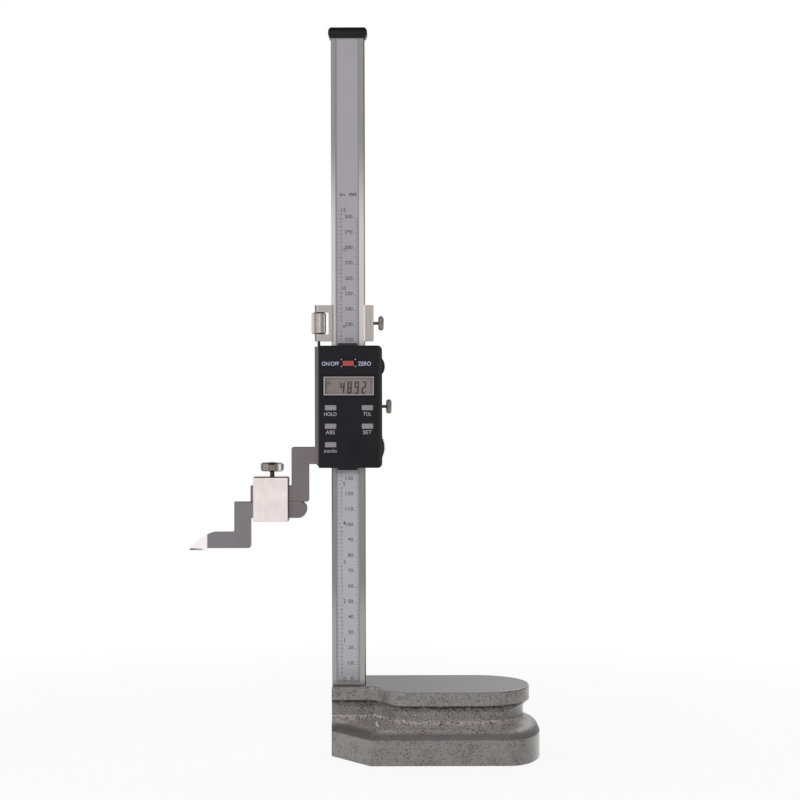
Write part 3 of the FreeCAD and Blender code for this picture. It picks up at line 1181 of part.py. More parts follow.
def scriber():
    """A stepped bar: upper bar in the clamp, limb, and a foot that points to the work."""
    foot_left = SCRIBER_FOOT_LEFT + SLOPE_RUN
    corners = [(SCRIBER_RIGHT, SCRIBER_TOP, SCRIBER_TAIL_TOP), (SCRIBER_LIMB_LEFT, SCRIBER_TOP, 0.4),
               (SCRIBER_LIMB_LEFT, SCRIBER_FOOT_TOP, SCRIBER_INNER), (foot_left, SCRIBER_FOOT_TOP, 0),
               (foot_left, SCRIBER_BOTTOM, 0), (SCRIBER_LIMB_RIGHT, SCRIBER_BOTTOM, SCRIBER_CORNER),
               (SCRIBER_LIMB_RIGHT, SCRIBER_TOP - SCRIBER_BAR, 0.4),
               (SCRIBER_RIGHT, SCRIBER_TOP - SCRIBER_BAR, SCRIBER_TAIL_BOTTOM)]
    bar = prism(corners, "y", SCRIBER_FRONT, SCRIBER_BACK)
    root = tip_blank().common(block(SCRIBER_FOOT_LEFT, foot_left, SCRIBER_FRONT, SCRIBER_BACK,
                                    MEASURING_Z - 1, SCRIBER_FOOT_TOP + 1))
    whole = bar.fuse(root).removeSplitter()
    front = [e for e in rim_edges(whole, "y", SCRIBER_FRONT)
             if any(abs(v.X - SCRIBER_FOOT_LEFT) > 1e-6 for v in e.Vertexes)]
    return whole.makeChamfer(EDGE_BREAK, front)


def carbide_tip():
    """The brazed tip, ground away at the front to a narrow edge, with a facet above the edge."""
    point_x = SCRIBER_FOOT_LEFT - TIP_LENGTH
    tip = tip_blank().common(block(point_x - 1, SCRIBER_FOOT_LEFT, SCRIBER_FRONT - 1, SCRIBER_BACK + 1,
                                   MEASURING_Z - 1, SCRIBER_FOOT_TOP + 1))
    edge_y = SCRIBER_BACK - TIP_EDGE
    slope_start = SCRIBER_FOOT_LEFT - 0.5
    ground = prism([(slope_start, SCRIBER_FRONT, 0), (point_x - 1, SCRIBER_FRONT - 1, 0),
                    (point_x - 1, edge_y, 0), (point_x, edge_y, 0)][::-1], "z", MEASURING_Z - 1,
                   SCRIBER_FOOT_TOP + 1)
    facet_top = MEASURING_Z + TIP_FACET * 1.4
    facet = prism([(edge_y, MEASURING_Z - 1, 0), (edge_y, MEASURING_Z, 0), (SCRIBER_FRONT - 1, facet_top, 0),
                   (SCRIBER_FRONT - 1, MEASURING_Z - 1, 0)],
                  "x", point_x - 1, SCRIBER_FOOT_LEFT - TIP_HEEL / 2)
    return tip.cut([ground, facet])


def all_parts():
    parts = {
        "base_casting": base_casting(), "beam": beam(), "scale_plate": scale_plate(),
        "beam_cap": beam_cap(), "beam_screws": beam_screws(), "slider_frame": slider_frame(),
        "slider_back_plate": slider_back_plate(), "plate_screws": plate_screws(),
        "housing_screws": housing_screws(), "slider_gib": slider_gib(),
        "gib_set_screws": gib_set_screws(), "slider_lock_screw": slider_lock_screw(),
        "housing_shell": housing_shell(), "dust_wipers": dust_wipers(),
        "display_lens": display_lens(), "display_panel": display_panel(),
        "zebra_strips": zebra_strips(), "main_board": main_board(), "sensor_strip": sensor_strip(),
        "key_domes": key_domes(), "power_zero_key": red_key(), "battery_cover": battery_cover(),
        "battery": battery(), "battery_contacts": battery_contacts(), "port_cover": port_cover(),
        "data_connector": data_connector(), "carrier_body": carrier_body(),
        "carrier_back_plate": carrier_back_plate(), "carrier_screws": carrier_screws(),
        "carrier_gib": carrier_gib(), "carrier_lock_screw": carrier_lock_screw(),
        "fine_adjust_rod": fine_adjust_rod(), "fine_adjust_nut": fine_adjust_nut(),
        "scriber_clamp": scriber_clamp(), "wing_screw": wing_screw(), "scriber": scriber(),
        "carbide_tip": carbide_tip(),
    }
    for name, x, z in key_places():
        parts[name] = key(x, z, KEY_WIDTH, KEY_HEIGHT)
    return parts


os.makedirs("parts", exist_ok=True)
for name, made in all_parts().items():
    shape = Part.makeCompound(made) if isinstance(made, list) else made
    shape.exportStep(os.path.join("parts", name + ".step"))
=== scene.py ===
import math

import bmesh
import bpy
from mathutils import Matrix, Vector


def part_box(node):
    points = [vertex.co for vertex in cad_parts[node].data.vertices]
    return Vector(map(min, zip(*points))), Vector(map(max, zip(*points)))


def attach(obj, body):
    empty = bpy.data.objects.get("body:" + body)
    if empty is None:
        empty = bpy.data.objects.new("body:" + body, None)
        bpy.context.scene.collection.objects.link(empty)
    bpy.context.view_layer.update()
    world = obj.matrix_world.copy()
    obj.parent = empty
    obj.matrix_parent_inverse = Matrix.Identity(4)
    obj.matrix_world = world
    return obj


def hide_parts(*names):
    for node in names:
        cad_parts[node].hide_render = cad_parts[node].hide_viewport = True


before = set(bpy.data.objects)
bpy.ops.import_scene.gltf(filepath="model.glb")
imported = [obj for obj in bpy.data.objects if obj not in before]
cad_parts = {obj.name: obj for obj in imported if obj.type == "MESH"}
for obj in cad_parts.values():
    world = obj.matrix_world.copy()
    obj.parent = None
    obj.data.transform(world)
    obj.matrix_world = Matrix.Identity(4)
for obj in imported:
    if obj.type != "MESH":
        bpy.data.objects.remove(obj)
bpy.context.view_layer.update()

# Cast base: iron, 44.5 mm high, with a waist for the fingers. It is sprayed with a glossy speckled
# enamel like granite, which lies smooth along the foot's upper edge. Light and shade are painted into
# the enamel: shade along that edge and more at the nose, on the waist and under the lip, and a
# highlight on the ledge. Its flat top is ground bare. The two socket screws that hold the beam from
# below are black.

MM = 0.001
BASE_TOP = 44.5
FOOT_TOP = 16.0
LIP_BOTTOM = 35.9
FOOT_EDGE = (0.02, 0.15)
NOSE_END = (12, 24)
TAIL_START = (82, 104)
ENAMEL_COAT = 0.35


class Wire:
    """One output of a shader node. Arithmetic on it adds Math nodes, and node() adds any other."""

    def __init__(self, tree, socket):
        self.tree = tree
        self.socket = socket

    def node(self, kind, settings, inputs, output=0):
        """A new node, with its settings made first, and then the values or links of its inputs."""
        made = self.tree.nodes.new(kind)
        for name, value in settings.items():
            setattr(made, name, value)
        for name, value in inputs.items():
            if isinstance(value, Wire):
                self.tree.links.new(value.socket, made.inputs[name])
            else:
                made.inputs[name].default_value = value
        return Wire(self.tree, made.outputs[output])

    def maths(self, operation, first, second):
        return self.node("ShaderNodeMath", {"operation": operation}, {0: first, 1: second})

    def __add__(self, other):
        return self.maths("ADD", self, other)

    def __radd__(self, other):
        return self.maths("ADD", other, self)

    def __sub__(self, other):
        return self.maths("SUBTRACT", self, other)

    def __rsub__(self, other):
        return self.maths("SUBTRACT", other, self)

    def __mul__(self, other):
        return self.maths("MULTIPLY", self, other)

    def __rmul__(self, other):
        return self.maths("MULTIPLY", other, self)


def tint(red, green, blue):
    """A colour as a picture shows it, from 0 to 255, in the linear values that shaders take."""
    linear = [v / 3294.6 if v <= 10 else ((v / 255 + 0.055) / 1.055) ** 2.4 for v in (red, green, blue)]
    return (*linear, 1.0)


def new_finish(name):
    """A material, and its place on the object in millimetres."""
    material = bpy.data.materials.new(name)
    material.use_nodes = True
    tree = material.node_tree
    place = Wire(tree, tree.nodes.new("ShaderNodeTexCoord").outputs["Object"])
    mm = place.node("ShaderNodeVectorMath", {"operation": "SCALE"}, {"Vector": place, "Scale": 1 / MM})
    return material, mm


def set_finish(material, inputs):
    """Sets or links the sockets of a material's shader."""
    tree = material.node_tree
    shader = tree.nodes["Principled BSDF"]
    for name, value in inputs.items():
        if isinstance(value, Wire):
            tree.links.new(value.socket, shader.inputs[name])
        else:
            shader.inputs[name].default_value = value


def noise(mm, scale, detail=2.0, stretch=(1, 1, 1), shift=0.0):
    """Noise from 0 to 1, of about 1 / scale millimetres, drawn out along an axis by a small stretch."""
    spot = mm.node("ShaderNodeMapping", {}, {"Vector": mm, "Location": (shift,) * 3, "Scale": stretch})
    return mm.node("ShaderNodeTexNoise", {}, {"Vector": spot, "Scale": scale, "Detail": detail})


def ramped(value, low, high):
    """0 below low, 1 above high, and smooth between."""
    return value.node("ShaderNodeMapRange", {"interpolation_type": "SMOOTHSTEP"},
                      {"Value": value, "From Min": low, "From Max": high})


def band(value, rise, fall):
    """0, then 1 past the rise, and 0 again past the fall. Each is the low and the high of a ramp."""
    return ramped(value, *rise) * (1 - ramped(value, *fall))


def blend_tint(share, first, second):
    """The first tint where the share is 0, and the second where it is 1."""
    return share.node("ShaderNodeMix", {"data_type": "RGBA"}, {0: share, 6: first, 7: second}, output=2)


def layered(under, *layers):
    """A tint with others laid over it in turn, each by its share."""
    for share, over in layers:
        under = blend_tint(share, under, over)
    return under


def relief(height, depth_mm, strength):
    """A bump as deep as depth_mm where the height is 1."""
    return height.node("ShaderNodeBump", {},
                       {"Height": height, "Distance": depth_mm * MM, "Strength": strength})


def part_of(vector, axis):
    """A vector's X, Y or Z."""
    return vector.node("ShaderNodeSeparateXYZ", {}, {"Vector": vector}, output="XYZ".index(axis))


def dress(material, *nodes):
    """Gives CAD nodes their material."""
    for node in nodes:
        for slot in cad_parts[node].material_slots:
            slot.material = material


enamel, mm = new_finish("speckled_enamel")
along = part_of(mm, "X")
over_foot = part_of(mm, "Z") - FOOT_TOP
over_lip = part_of(mm, "Z") - LIP_BOTTOM
ground_top = ramped(part_of(mm, "Z") - BASE_TOP, -0.12, -0.05)
# Painted shade: along the foot's upper edge the enamel is smooth and darkened, and darker still at the
# nose.
smooth_shaded_edge = band(over_foot, FOOT_EDGE, (2.6, 4.6))
shaded_nose_edge = band(over_foot, FOOT_EDGE, (3, 6)) * (1 - ramped(along, *NOSE_END))
tail_ledge = band(over_foot, FOOT_EDGE, (10, 13)) * ramped(along, *TAIL_START)
# A painted highlight lies on the ledge, and painted shade on the waist above it.
painted_ledge_light = band(over_foot, (3, 5.5), (8.5, 10.5))
waist_shade = band(over_foot, (9, 11), (15, 18))
on_waist = ramped(over_foot, *FOOT_EDGE) * (1 - ramped(over_lip, -3, -1))
# A ragged painted shadow lies right under the lip.
ragged = noise(mm, 0.3, 3.0, (1, 1, 0.5), shift=17.0)
under_lip_shadow = ramped(over_lip + (ragged - 0.5) * 6.0, -2.5, -1.1)
under_lip_shadow = under_lip_shadow * (1 - ramped(over_lip, -0.05, 0.2)) * ramped(ragged, 0.36, 0.5)

clouds = noise(mm, 0.16, shift=7.0)
dark_specks = 1 - ramped(noise(mm, 0.85, 3.0) + (clouds - 0.5) * 0.2, 0.36, 0.47)
dark_specks = dark_specks * (1 - smooth_shaded_edge * 0.7)
pale_specks = ramped(noise(mm, 1.25, shift=31.0), 0.56, 0.66) * (1 - smooth_shaded_edge * 0.9)
enamel_tint = layered(blend_tint(clouds, tint(110, 105, 104), tint(138, 133, 131)),
                      (painted_ledge_light * 0.6, tint(186, 180, 178)),
                      (waist_shade * 0.34, tint(74, 70, 69)),
                      (pale_specks * (0.5 + on_waist * 0.3), tint(164, 159, 156)),
                      (dark_specks * (0.72 + on_waist * 0.25), tint(56, 52, 53)),
                      (smooth_shaded_edge * 0.6, tint(88, 84, 86)),
                      (shaded_nose_edge * 0.8, tint(72, 67, 68)),
                      (under_lip_shadow * 0.9, tint(48, 44, 46)),
                      (ground_top, tint(94, 92, 94)))
enamel_roughness = 0.26 + ground_top * 0.2 + shaded_nose_edge * 0.3 + tail_ledge * 0.2
enamel_coat = (1 - ground_top) * (1 - shaded_nose_edge) * (1 - tail_ledge) * ENAMEL_COAT
orange_peel = relief(noise(mm, 0.8, 1.0, shift=3.0), 0.05, 0.35)
set_finish(enamel, {"Base Color": enamel_tint, "Roughness": enamel_roughness, "Normal": orange_peel,
                    "Metallic": ground_top * 0.85, "Coat Weight": enamel_coat, "Coat Roughness": 0.08})
dress(enamel, "base_casting")

black_oxide, mm = new_finish("black_oxide")
set_finish(black_oxide, {"Base Color": blend_tint(noise(mm, 3.0), tint(30, 30, 31), tint(44, 44, 45)),
                         "Metallic": 0.6, "Roughness": 0.42})
dress(black_oxide, "beam_screws", "gib_set_screws")

# Beam: a ground and satin-plated steel bar, 22 by 8 mm, that stands in the base's slot. The grinding
# runs along its length. A lavender-grey scale is let into its front, and printed in dark ink with
# millimetres along the right edge and tenths of an inch along the left.

SCALE_ZERO = 47.6
SCALE_FACE = -4.0
SCALE_MM = 300
SCALE_INCHES = 12
INCH = 25.4
INCH_MARKS_X = -6.9
INCH_MARK_THICK = 0.2
MM_MARKS_X = 7.05
MM_MARK_THICK = 0.18
UNITS_Z = 363.0
INK_RISE = 0.03


def ground_marks(mm, along, scale=5.5, stretch=0.015):
    """Fine marks drawn out along one axis."""
    return noise(mm, scale, 3.0, [stretch if axis == along else 1.0 for axis in "XYZ"])


def set_steel(material, colour, marks, roughness, spread=0.16, metallic=1.0):
    """Finishes steel whose marks roughen it and can just be felt."""
    set_finish(material, {"Base Color": colour, "Metallic": metallic,
                          "Roughness": roughness + marks * spread, "Normal": relief(marks, 0.01, 0.5)})


def new_ink(name, dark, pale, scale, roughness):
    """Ink or another thin layer, slightly uneven in colour."""
    material, mm = new_finish(name)
    colour = blend_tint(noise(mm, scale), dark, pale)
    set_finish(material, {"Base Color": colour, "Roughness": roughness})
    return material


def new_piece(name, bm, material, body):
    """Closes a bmesh into an object that rides on a body."""
    mesh = bpy.data.meshes.new(name)
    bm.to_mesh(mesh)
    bm.free()
    mesh.materials.append(material)
    piece = bpy.data.objects.new(name, mesh)
    bpy.context.scene.collection.objects.link(piece)
    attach(piece, body)
    return piece


def mark(bm, x0, x1, z0, z1, y):
    """A flat printed bar that faces the front."""
    size = Matrix.Diagonal(((x1 - x0) * MM, (z1 - z0) * MM, 1, 1))
    place = Matrix.Translation(Vector(((x0 + x1) / 2, y, (z0 + z1) / 2)) * MM)
    turn = Matrix.Rotation(math.radians(90), 4, "X")
    bmesh.ops.create_grid(bm, x_segments=1, y_segments=1, size=0.5, matrix=place @ turn @ size)


def letter(bm, words, x, z, high, y, wide=None, anchor=0.5, bold=0.0):
    """Words as flat shapes, high mm tall and wide mm wide, with (x, z) at their anchor and middle."""
    curve = bpy.data.curves.new("words", "FONT")
    curve.body = words
    curve.offset = bold
    holder = bpy.data.objects.new("words", curve)
    bpy.context.scene.collection.objects.link(holder)
    mesh = bpy.data.meshes.new_from_object(holder.evaluated_get(bpy.context.evaluated_depsgraph_get()))
    xs = [v.co.x for v in mesh.vertices]
    ys = [v.co.y for v in mesh.vertices]
    broad = max(xs) - min(xs)
    tall = max(ys) - min(ys)
    grow_y = high / tall
    grow_x = grow_y if wide is None else wide / broad
    middle = Matrix.Translation(Vector((-min(xs) - anchor * broad, -min(ys) - tall / 2, 0)))
    turn = Matrix.Rotation(math.radians(90), 4, "X")
    place = Matrix.Translation(Vector((x, y, z)) * MM) @ turn @ Matrix.Scale(MM, 4)
    mesh.transform(place @ Matrix.Diagonal((grow_x, grow_y, 1, 1)) @ middle)
    bm.from_mesh(mesh)
    bpy.data.objects.remove(holder)
    bpy.data.curves.remove(curve)
    bpy.data.meshes.remove(mesh)


beam_steel, mm = new_finish("satin_beam_steel")
height = part_of(mm, "Z")
grinding = ground_marks(mm, "Z")
# Reflections are painted into the beam's colour: lighter above 260 mm and at the low end, and brightest
# between 290 and 338 mm.
low_end = 1 - ramped(height, 85, 115)
painted_sheen = band(height, (185, 290), (338, 404))
beam_tint = layered(blend_tint(ramped(height, 180, 260), tint(137, 133, 131), tint(147, 146, 146)),
                    (low_end, tint(164, 161, 159)),
                    (painted_sheen, tint(208, 203, 200)),
                    (grinding * 0.25, tint(118, 116, 114)))
set_steel(beam_steel, beam_tint, grinding, 0.28)
dress(beam_steel, "beam")

foil, mm = new_finish("scale_foil")
across = part_of(mm, "X")
height = part_of(mm, "Z")
# Painted shade lies along both edges of the scale, where it meets the beam. Its colour is also lighter
# towards the bottom and darker just above the base.
edge_shade = 1 - band(across, (-7.1, -6.8), (6.2, 6.6))
bare_rim = 1 - ramped(across, -7.8, -7.6) * ramped(height, SCALE_ZERO - 0.3, SCALE_ZERO)
foil_tint = layered(blend_tint(noise(mm, 0.02, 2.0, (1, 1, 1.4), shift=5.0),
                               tint(150, 148, 153), tint(164, 162, 168)),
                    ((1 - ramped(height, 90, 330)) * 0.6, tint(182, 182, 187)),
                    (edge_shade * 0.5, tint(108, 104, 104)),
                    ((1 - ramped(height, 50, 62)) * 0.4, tint(118, 116, 118)),
                    (bare_rim, tint(128, 125, 121)))
set_finish(foil, {"Base Color": foil_tint, "Metallic": 0.35, "Roughness": 0.36 + noise(mm, 2.0) * 0.1})
dress(foil, "scale_plate")

scale_ink = new_ink("scale_ink", tint(74, 74, 82), tint(94, 94, 102), 4.0, 0.5)
number_ink = new_ink("number_ink", tint(54, 52, 58), tint(74, 72, 78), 4.0, 0.5)

scale_level = SCALE_FACE - INK_RISE
marks = bmesh.new()
for count in range(SCALE_MM + 1):
    low = SCALE_ZERO + count - MM_MARK_THICK / 2
    long = 3.55 if count % 10 == 0 else 2.55 if count % 5 == 0 else 1.75
    mark(marks, MM_MARKS_X - long, MM_MARKS_X, low, low + MM_MARK_THICK, scale_level)
for count in range(SCALE_INCHES * 10 + 1):
    low = SCALE_ZERO + count * INCH / 10 - INCH_MARK_THICK / 2
    long = 2.8 if count % 10 == 0 else 1.3
    mark(marks, INCH_MARKS_X, INCH_MARKS_X + long, low, low + INCH_MARK_THICK, scale_level)
new_piece("scale_marks", marks, scale_ink, "base")

numbers = bmesh.new()
for count in range(0, SCALE_MM + 1, 10):
    words = str(count)
    letter(numbers, words, 2.9, SCALE_ZERO + count + 1.1, 2.3, scale_level, 1.65 * len(words),
           anchor=1.0, bold=0.01)
for count in range(SCALE_INCHES + 1):
    level = SCALE_ZERO + count * INCH
    letter(numbers, str(count), -2.8, level + 0.5, 2.5, scale_level, bold=0.01)
    if count < SCALE_INCHES:
        for tenth in range(1, 10):
            letter(numbers, str(tenth), -4.5, level + tenth * INCH / 10, 1.6, scale_level)
letter(numbers, "in", -3.7, UNITS_Z, 2.0, scale_level, 3.2, bold=0.02)
letter(numbers, "mm", 3.3, UNITS_Z, 1.9, scale_level, 4.8, bold=0.03)
new_piece("scale_numbers", numbers, number_ink, "base")

# Cap: a black moulding with bulged sides. It is pushed over the end of the beam, and keeps the
# slider and the carrier from running off.


def moulding(name, dark, pale, roughness, grit=4.0, depth=0.012, gloss=0.5):
    """Moulded plastic with a fine spark-eroded texture."""
    material, mm = new_finish(name)
    texture = noise(mm, grit)
    set_finish(material, {"Base Color": blend_tint(noise(mm, 0.12, shift=4.0), dark, pale),
                          "Roughness": roughness - 0.05 + texture * 0.1,
                          "Normal": relief(texture, depth, 0.6), "Specular IOR Level": gloss})
    return material


cap_black = moulding("cap_black", tint(12, 12, 14), tint(19, 19, 21), 0.42, gloss=0.22)
dress(cap_black, "beam_cap")

# Slider: a hardened steel frame that runs round the beam, with the stepped jaw in one piece.
# A plate closes its back with flat-headed screws, and a brass gib behind two set screws takes
# up the play.


def wear(mm, marks):
    """A share for steel's colour, of its marks and of wide worn patches."""
    return marks * 0.6 + noise(mm, 0.07, shift=11.0) * 0.4


def ground_steel(name, along, dark, pale, roughness, metallic=1.0):
    """Steel with fine grinding marks along one axis."""
    material, mm = new_finish(name)
    marks = ground_marks(mm, along)
    colour = blend_tint(wear(mm, marks), dark, pale)
    set_steel(material, colour, marks, roughness - 0.08, metallic=metallic)
    return material


slider_steel = ground_steel("slider_steel", "Z", tint(101, 96, 98), tint(130, 124, 125), 0.36)
dress(slider_steel, "slider_frame")

plate_steel = ground_steel("plate_steel", "Z", tint(150, 146, 143), tint(182, 178, 174), 0.34)
dress(plate_steel, "slider_back_plate", "carrier_back_plate")

screw_steel = ground_steel("screw_steel", "Y", tint(140, 138, 136), tint(182, 180, 178), 0.28)
dress(screw_steel, "plate_screws", "housing_screws", "carrier_screws")

gib_brass = ground_steel("gib_brass", "Z", tint(170, 140, 80), tint(206, 176, 110), 0.3)
dress(gib_brass, "slider_gib", "carrier_gib")

# Housing: a black moulding with a fine texture, screwed to the slider from the rear. Its legends
# are printed in pale ink. Felt wipers sit in its two ends and keep grit off the scale.

HOUSING_FACE = -16.96
DISPLAY_X = 0.55
DISPLAY_Z = 238.5
POWER_KEY_X = 0.3
POWER_KEY_Z = 253.1
POWER_LEGENDS_Z = 252.9
GLINT_DOT = 0.6


def away(value, middle):
    """How far a value lies from a middle one, either way."""
    return value.node("ShaderNodeMath", {"operation": "ABSOLUTE"}, {0: value - middle})


def in_frame(mm, middle_x, middle_z, half_x, half_z):
    """1 within a rectangle of the front, with soft edges."""
    away_x = away(part_of(mm, "X"), middle_x)
    away_z = away(part_of(mm, "Z"), middle_z)
    return (1 - ramped(away_x, half_x, half_x + 0.3)) * (1 - ramped(away_z, half_z, half_z + 0.3))


housing_black, mm = new_finish("housing_black")
sparks = noise(mm, 5.0)
# Painted light on the housing: a highlight along its right bevel, shade in the display's recess, and in
# the power key's recess dark red, partly the key's red and partly painted shade.
right_bevel_highlight = ramped(part_of(mm, "X"), 19.2, 21.2)
display_recess_shade = in_frame(mm, DISPLAY_X, DISPLAY_Z, 17.0, 7.3)
shaded_key_recess = in_frame(mm, POWER_KEY_X, POWER_KEY_Z + 0.1, 4.4, 2.6)
housing_tint = layered(blend_tint(noise(mm, 0.12, shift=4.0), tint(9, 9, 14), tint(15, 15, 20)),
                       (right_bevel_highlight * 0.9, tint(42, 39, 39)),
                       (display_recess_shade, tint(3, 3, 3)),
                       (shaded_key_recess, tint(34, 3, 5)))
set_finish(housing_black, {"Base Color": housing_tint, "Roughness": 0.42 + sparks * 0.1,
                           "Normal": relief(sparks, 0.012, 0.6), "Specular IOR Level": 0.2})
dress(housing_black, "housing_shell", "battery_cover", "port_cover")

felt, mm = new_finish("wiper_felt")
fibres = noise(mm, 6.0, 4.0)
set_finish(felt, {"Base Color": blend_tint(fibres, tint(46, 44, 48), tint(62, 60, 64)),
                  "Roughness": 0.95, "Normal": relief(fibres, 0.15, 0.8)})
dress(felt, "dust_wipers")

pale_ink = new_ink("pale_legend_ink", tint(160, 160, 164), tint(178, 178, 182), 3.0, 0.55)
blue_ink_and_glints = new_ink("blue_legend_ink_and_glints", tint(184, 192, 216), tint(202, 210, 232), 3.0, 0.55)

legend_level = HOUSING_FACE - INK_RISE
upper = bmesh.new()
letter(upper, "ON/OFF", -11.1, POWER_LEGENDS_Z, 2.55, legend_level, 10.9)
letter(upper, "ZERO", 10.8, POWER_LEGENDS_Z, 2.6, legend_level, 8.2)
# A pale dot stands at each corner of the power key's recess: painted highlights of the corners.
for x in (-4.0, 4.9):
    for z in (251.2, 255.6):
        mark(upper, x - GLINT_DOT / 2, x + GLINT_DOT / 2, z - GLINT_DOT / 2, z + GLINT_DOT / 2, legend_level)
new_piece("upper_legends_and_glints", upper, blue_ink_and_glints, "slider")

lower = bmesh.new()
for words, x, z, high, wide in [("HOLD", -11.3, 220.5, 2.4, 8.0), ("TOL", 12.5, 220.5, 2.4, 5.2),
                                ("ABS", -11.3, 208.8, 2.5, 5.9), ("SET", 12.5, 208.8, 2.5, 5.6),
                                ("mm/in", -11.3, 196.9, 2.5, 8.0)]:
    letter(lower, words, x, z, high, legend_level, wide)
new_piece("lower_legends", lower, pale_ink, "slider")

# Display: a clear window with a frosted bevelled edge, bedded in a recess of the housing. The grey
# liquid crystal panel lies behind it and shows four leaning figures of seven bars each.

CLEAR_HALF_X = (15.25, 15.35)
CLEAR_HALF_Z = (5.2, 5.3)
SEAT_HALF_Z = (5.9, 6.05)
PANEL_FACE = -15.31
FIGURE_HIGH = 7.9
FIGURE_WIDE = 2.9
FIGURE_Z = DISPLAY_Z - 1.0
FIGURE_X = (-3.53, 1.17, 5.75, 10.38)
POINT_X = (3.35, 4.0)
BAR = 1.05
BAR_GAP = 0.06
LEAN = 0.06

# A figure's bars: top, upper left, upper right, middle, lower left, lower right and bottom. Each has
# its place in halves of the figure, whether it stands upright, the side that its outer edge is on,
# and whether that edge reaches out to a corner (1), stops (0) or draws back (-1) at its two ends.
BARS = [(0, 1, False, 1, 1, 1), (-1, 0.5, True, -1, 0, 1), (1, 0.5, True, 1, 0, 1),
        (0, 0, False, 1, -1, -1), (-1, -0.5, True, -1, 1, 0), (1, -0.5, True, 1, 1, 0),
        (0, -1, False, -1, 1, 1)]
LIT = {"4": "0111010", "8": "1111111", "9": "1111011", "2": "1011101"}


def larger(first, second):
    """The larger of two values."""
    return first.maths("MAXIMUM", first, second)


def bar(bm, x, z, y, upright, length, outside, low_reach, high_reach):
    """One leaning bar of a figure, mitred at its ends."""
    half = length / 2
    edge = outside * BAR / 2
    ends = [(-half - low_reach, edge), (half + high_reach, edge), (half, 0),
            (half - BAR / 2, -edge), (-half + BAR / 2, -edge), (-half, 0)]
    corners = []
    for u, v in ends:
        here_x, here_z = (x + v, z + u) if upright else (x + u, z + v)
        leaning_x = here_x + LEAN * (here_z - DISPLAY_Z)
        corners.append(bm.verts.new(Vector((leaning_x, y, here_z)) * MM))
    if upright == (outside < 0):
        corners.reverse()
    bm.faces.new(corners)


window, mm = new_finish("display_window")
off_x = away(part_of(mm, "X"), DISPLAY_X)
off_z = away(part_of(mm, "Z"), DISPLAY_Z + 0.1)
border = larger(ramped(off_x, *CLEAR_HALF_X), ramped(off_z, *CLEAR_HALF_Z))
seat = ramped(off_z, *SEAT_HALF_Z)
set_finish(window, {"Base Color": blend_tint(seat, tint(162, 156, 154), tint(8, 8, 9)),
                    "Roughness": 0.12 + border * 0.25, "Alpha": 0.04 + border * 0.96, "IOR": 1.49})
dress(window, "display_lens")

panel_grey, mm = new_finish("liquid_crystal_panel")
sheen = noise(mm, 0.05, 1.0)
set_finish(panel_grey, {"Base Color": blend_tint(sheen, tint(120, 111, 108), tint(132, 122, 118)),
                        "Roughness": 0.4, "Metallic": 0.1})
dress(panel_grey, "display_panel")

segment_black = new_ink("liquid_crystal_segments", tint(6, 3, 3), tint(14, 9, 9), 2.0, 0.4)

figure_level = PANEL_FACE - INK_RISE
half_high = (FIGURE_HIGH - BAR) / 2
half_wide = (FIGURE_WIDE - BAR) / 2
corner = BAR / 2
figures = bmesh.new()
for figure, figure_x in zip("4892", FIGURE_X):
    for lit, (side, rise, upright, outside, low_reach, high_reach) in zip(LIT[figure], BARS):
        if lit == "1":
            length = (half_high if upright else 2 * half_wide) - BAR_GAP
            bar(figures, figure_x + side * half_wide, FIGURE_Z + rise * half_high, figure_level,
                upright, length, outside, low_reach * corner, high_reach * corner)
point_z = FIGURE_Z - half_high
mark(figures, *POINT_X, point_z - 0.3, point_z + 0.35, figure_level)
letter(figures, "mm", -12.3, DISPLAY_Z + 1.6, 1.5, figure_level, 3.2, bold=0.02)
new_piece("display_figures", figures, segment_black, "slider")

# Keys: soft mouldings that stand just proud of the housing. The power key is red and lies in a
# recess of its own. Each presses a snap dome on the board.

key_grey = moulding("key_grey", tint(131, 129, 133), tint(145, 142, 146), 0.55, 2.5, 0.02, gloss=0.25)
dress(key_grey, "hold_key", "absolute_key", "unit_key", "tolerance_key", "preset_key")

key_red, mm = new_finish("key_red")
key_face = in_frame(mm, POWER_KEY_X, POWER_KEY_Z, 3.45, 1.45)
key_tint = blend_tint(noise(mm, 0.12, shift=4.0), tint(156, 68, 70), tint(168, 82, 82))
# Outside its face the key is dark red: its own red, darkened by painted shade in the recess.
set_finish(key_red, {"Base Color": blend_tint(key_face, tint(46, 6, 8), key_tint), "Roughness": 0.5,
                     "Normal": relief(noise(mm, 2.5), 0.02, 0.6), "Specular IOR Level": 0.25})
dress(key_red, "power_zero_key")

# Inside the housing: a green board with its strip of sensing pads over the scale, snap domes, two
# rubber strips to the display, a nickel-plated cell with its contacts, and the port's connector.

board_green, mm = new_finish("board_green")
tracks = ramped(noise(mm, 0.5, 1.0, (1, 1, 0.15)), 0.5, 0.52)
set_finish(board_green, {"Base Color": blend_tint(tracks, tint(28, 92, 50), tint(36, 112, 62)),
                         "Roughness": 0.35, "Coat Weight": 0.3})
dress(board_green, "main_board", "sensor_strip")

dome_steel = ground_steel("dome_steel", "Z", tint(180, 180, 180), tint(205, 205, 205), 0.22)
dress(dome_steel, "key_domes", "battery", "battery_contacts")

strip_rubber = moulding("strip_rubber", tint(196, 184, 168), tint(208, 198, 182), 0.7)
dress(strip_rubber, "zebra_strips")

connector_black = moulding("connector_black", tint(36, 36, 38), tint(46, 46, 48), 0.5)
dress(connector_black, "data_connector")

# Lock screws and fine adjustment nut: bright turned steel, knurled for the fingers. The screws clamp
# the slider and the carrier to the beam. The nut turns on the rod at the slider's left, and all
# three have a fine thread of 0.4 mm.

PITCH = 0.4
SHANK_RADIUS = 1.0
SLIDER_LOCK_Z = 225.2
CARRIER_LOCK_Z = 279.4
ROD_X = -19.2
ROD_Y = -0.65


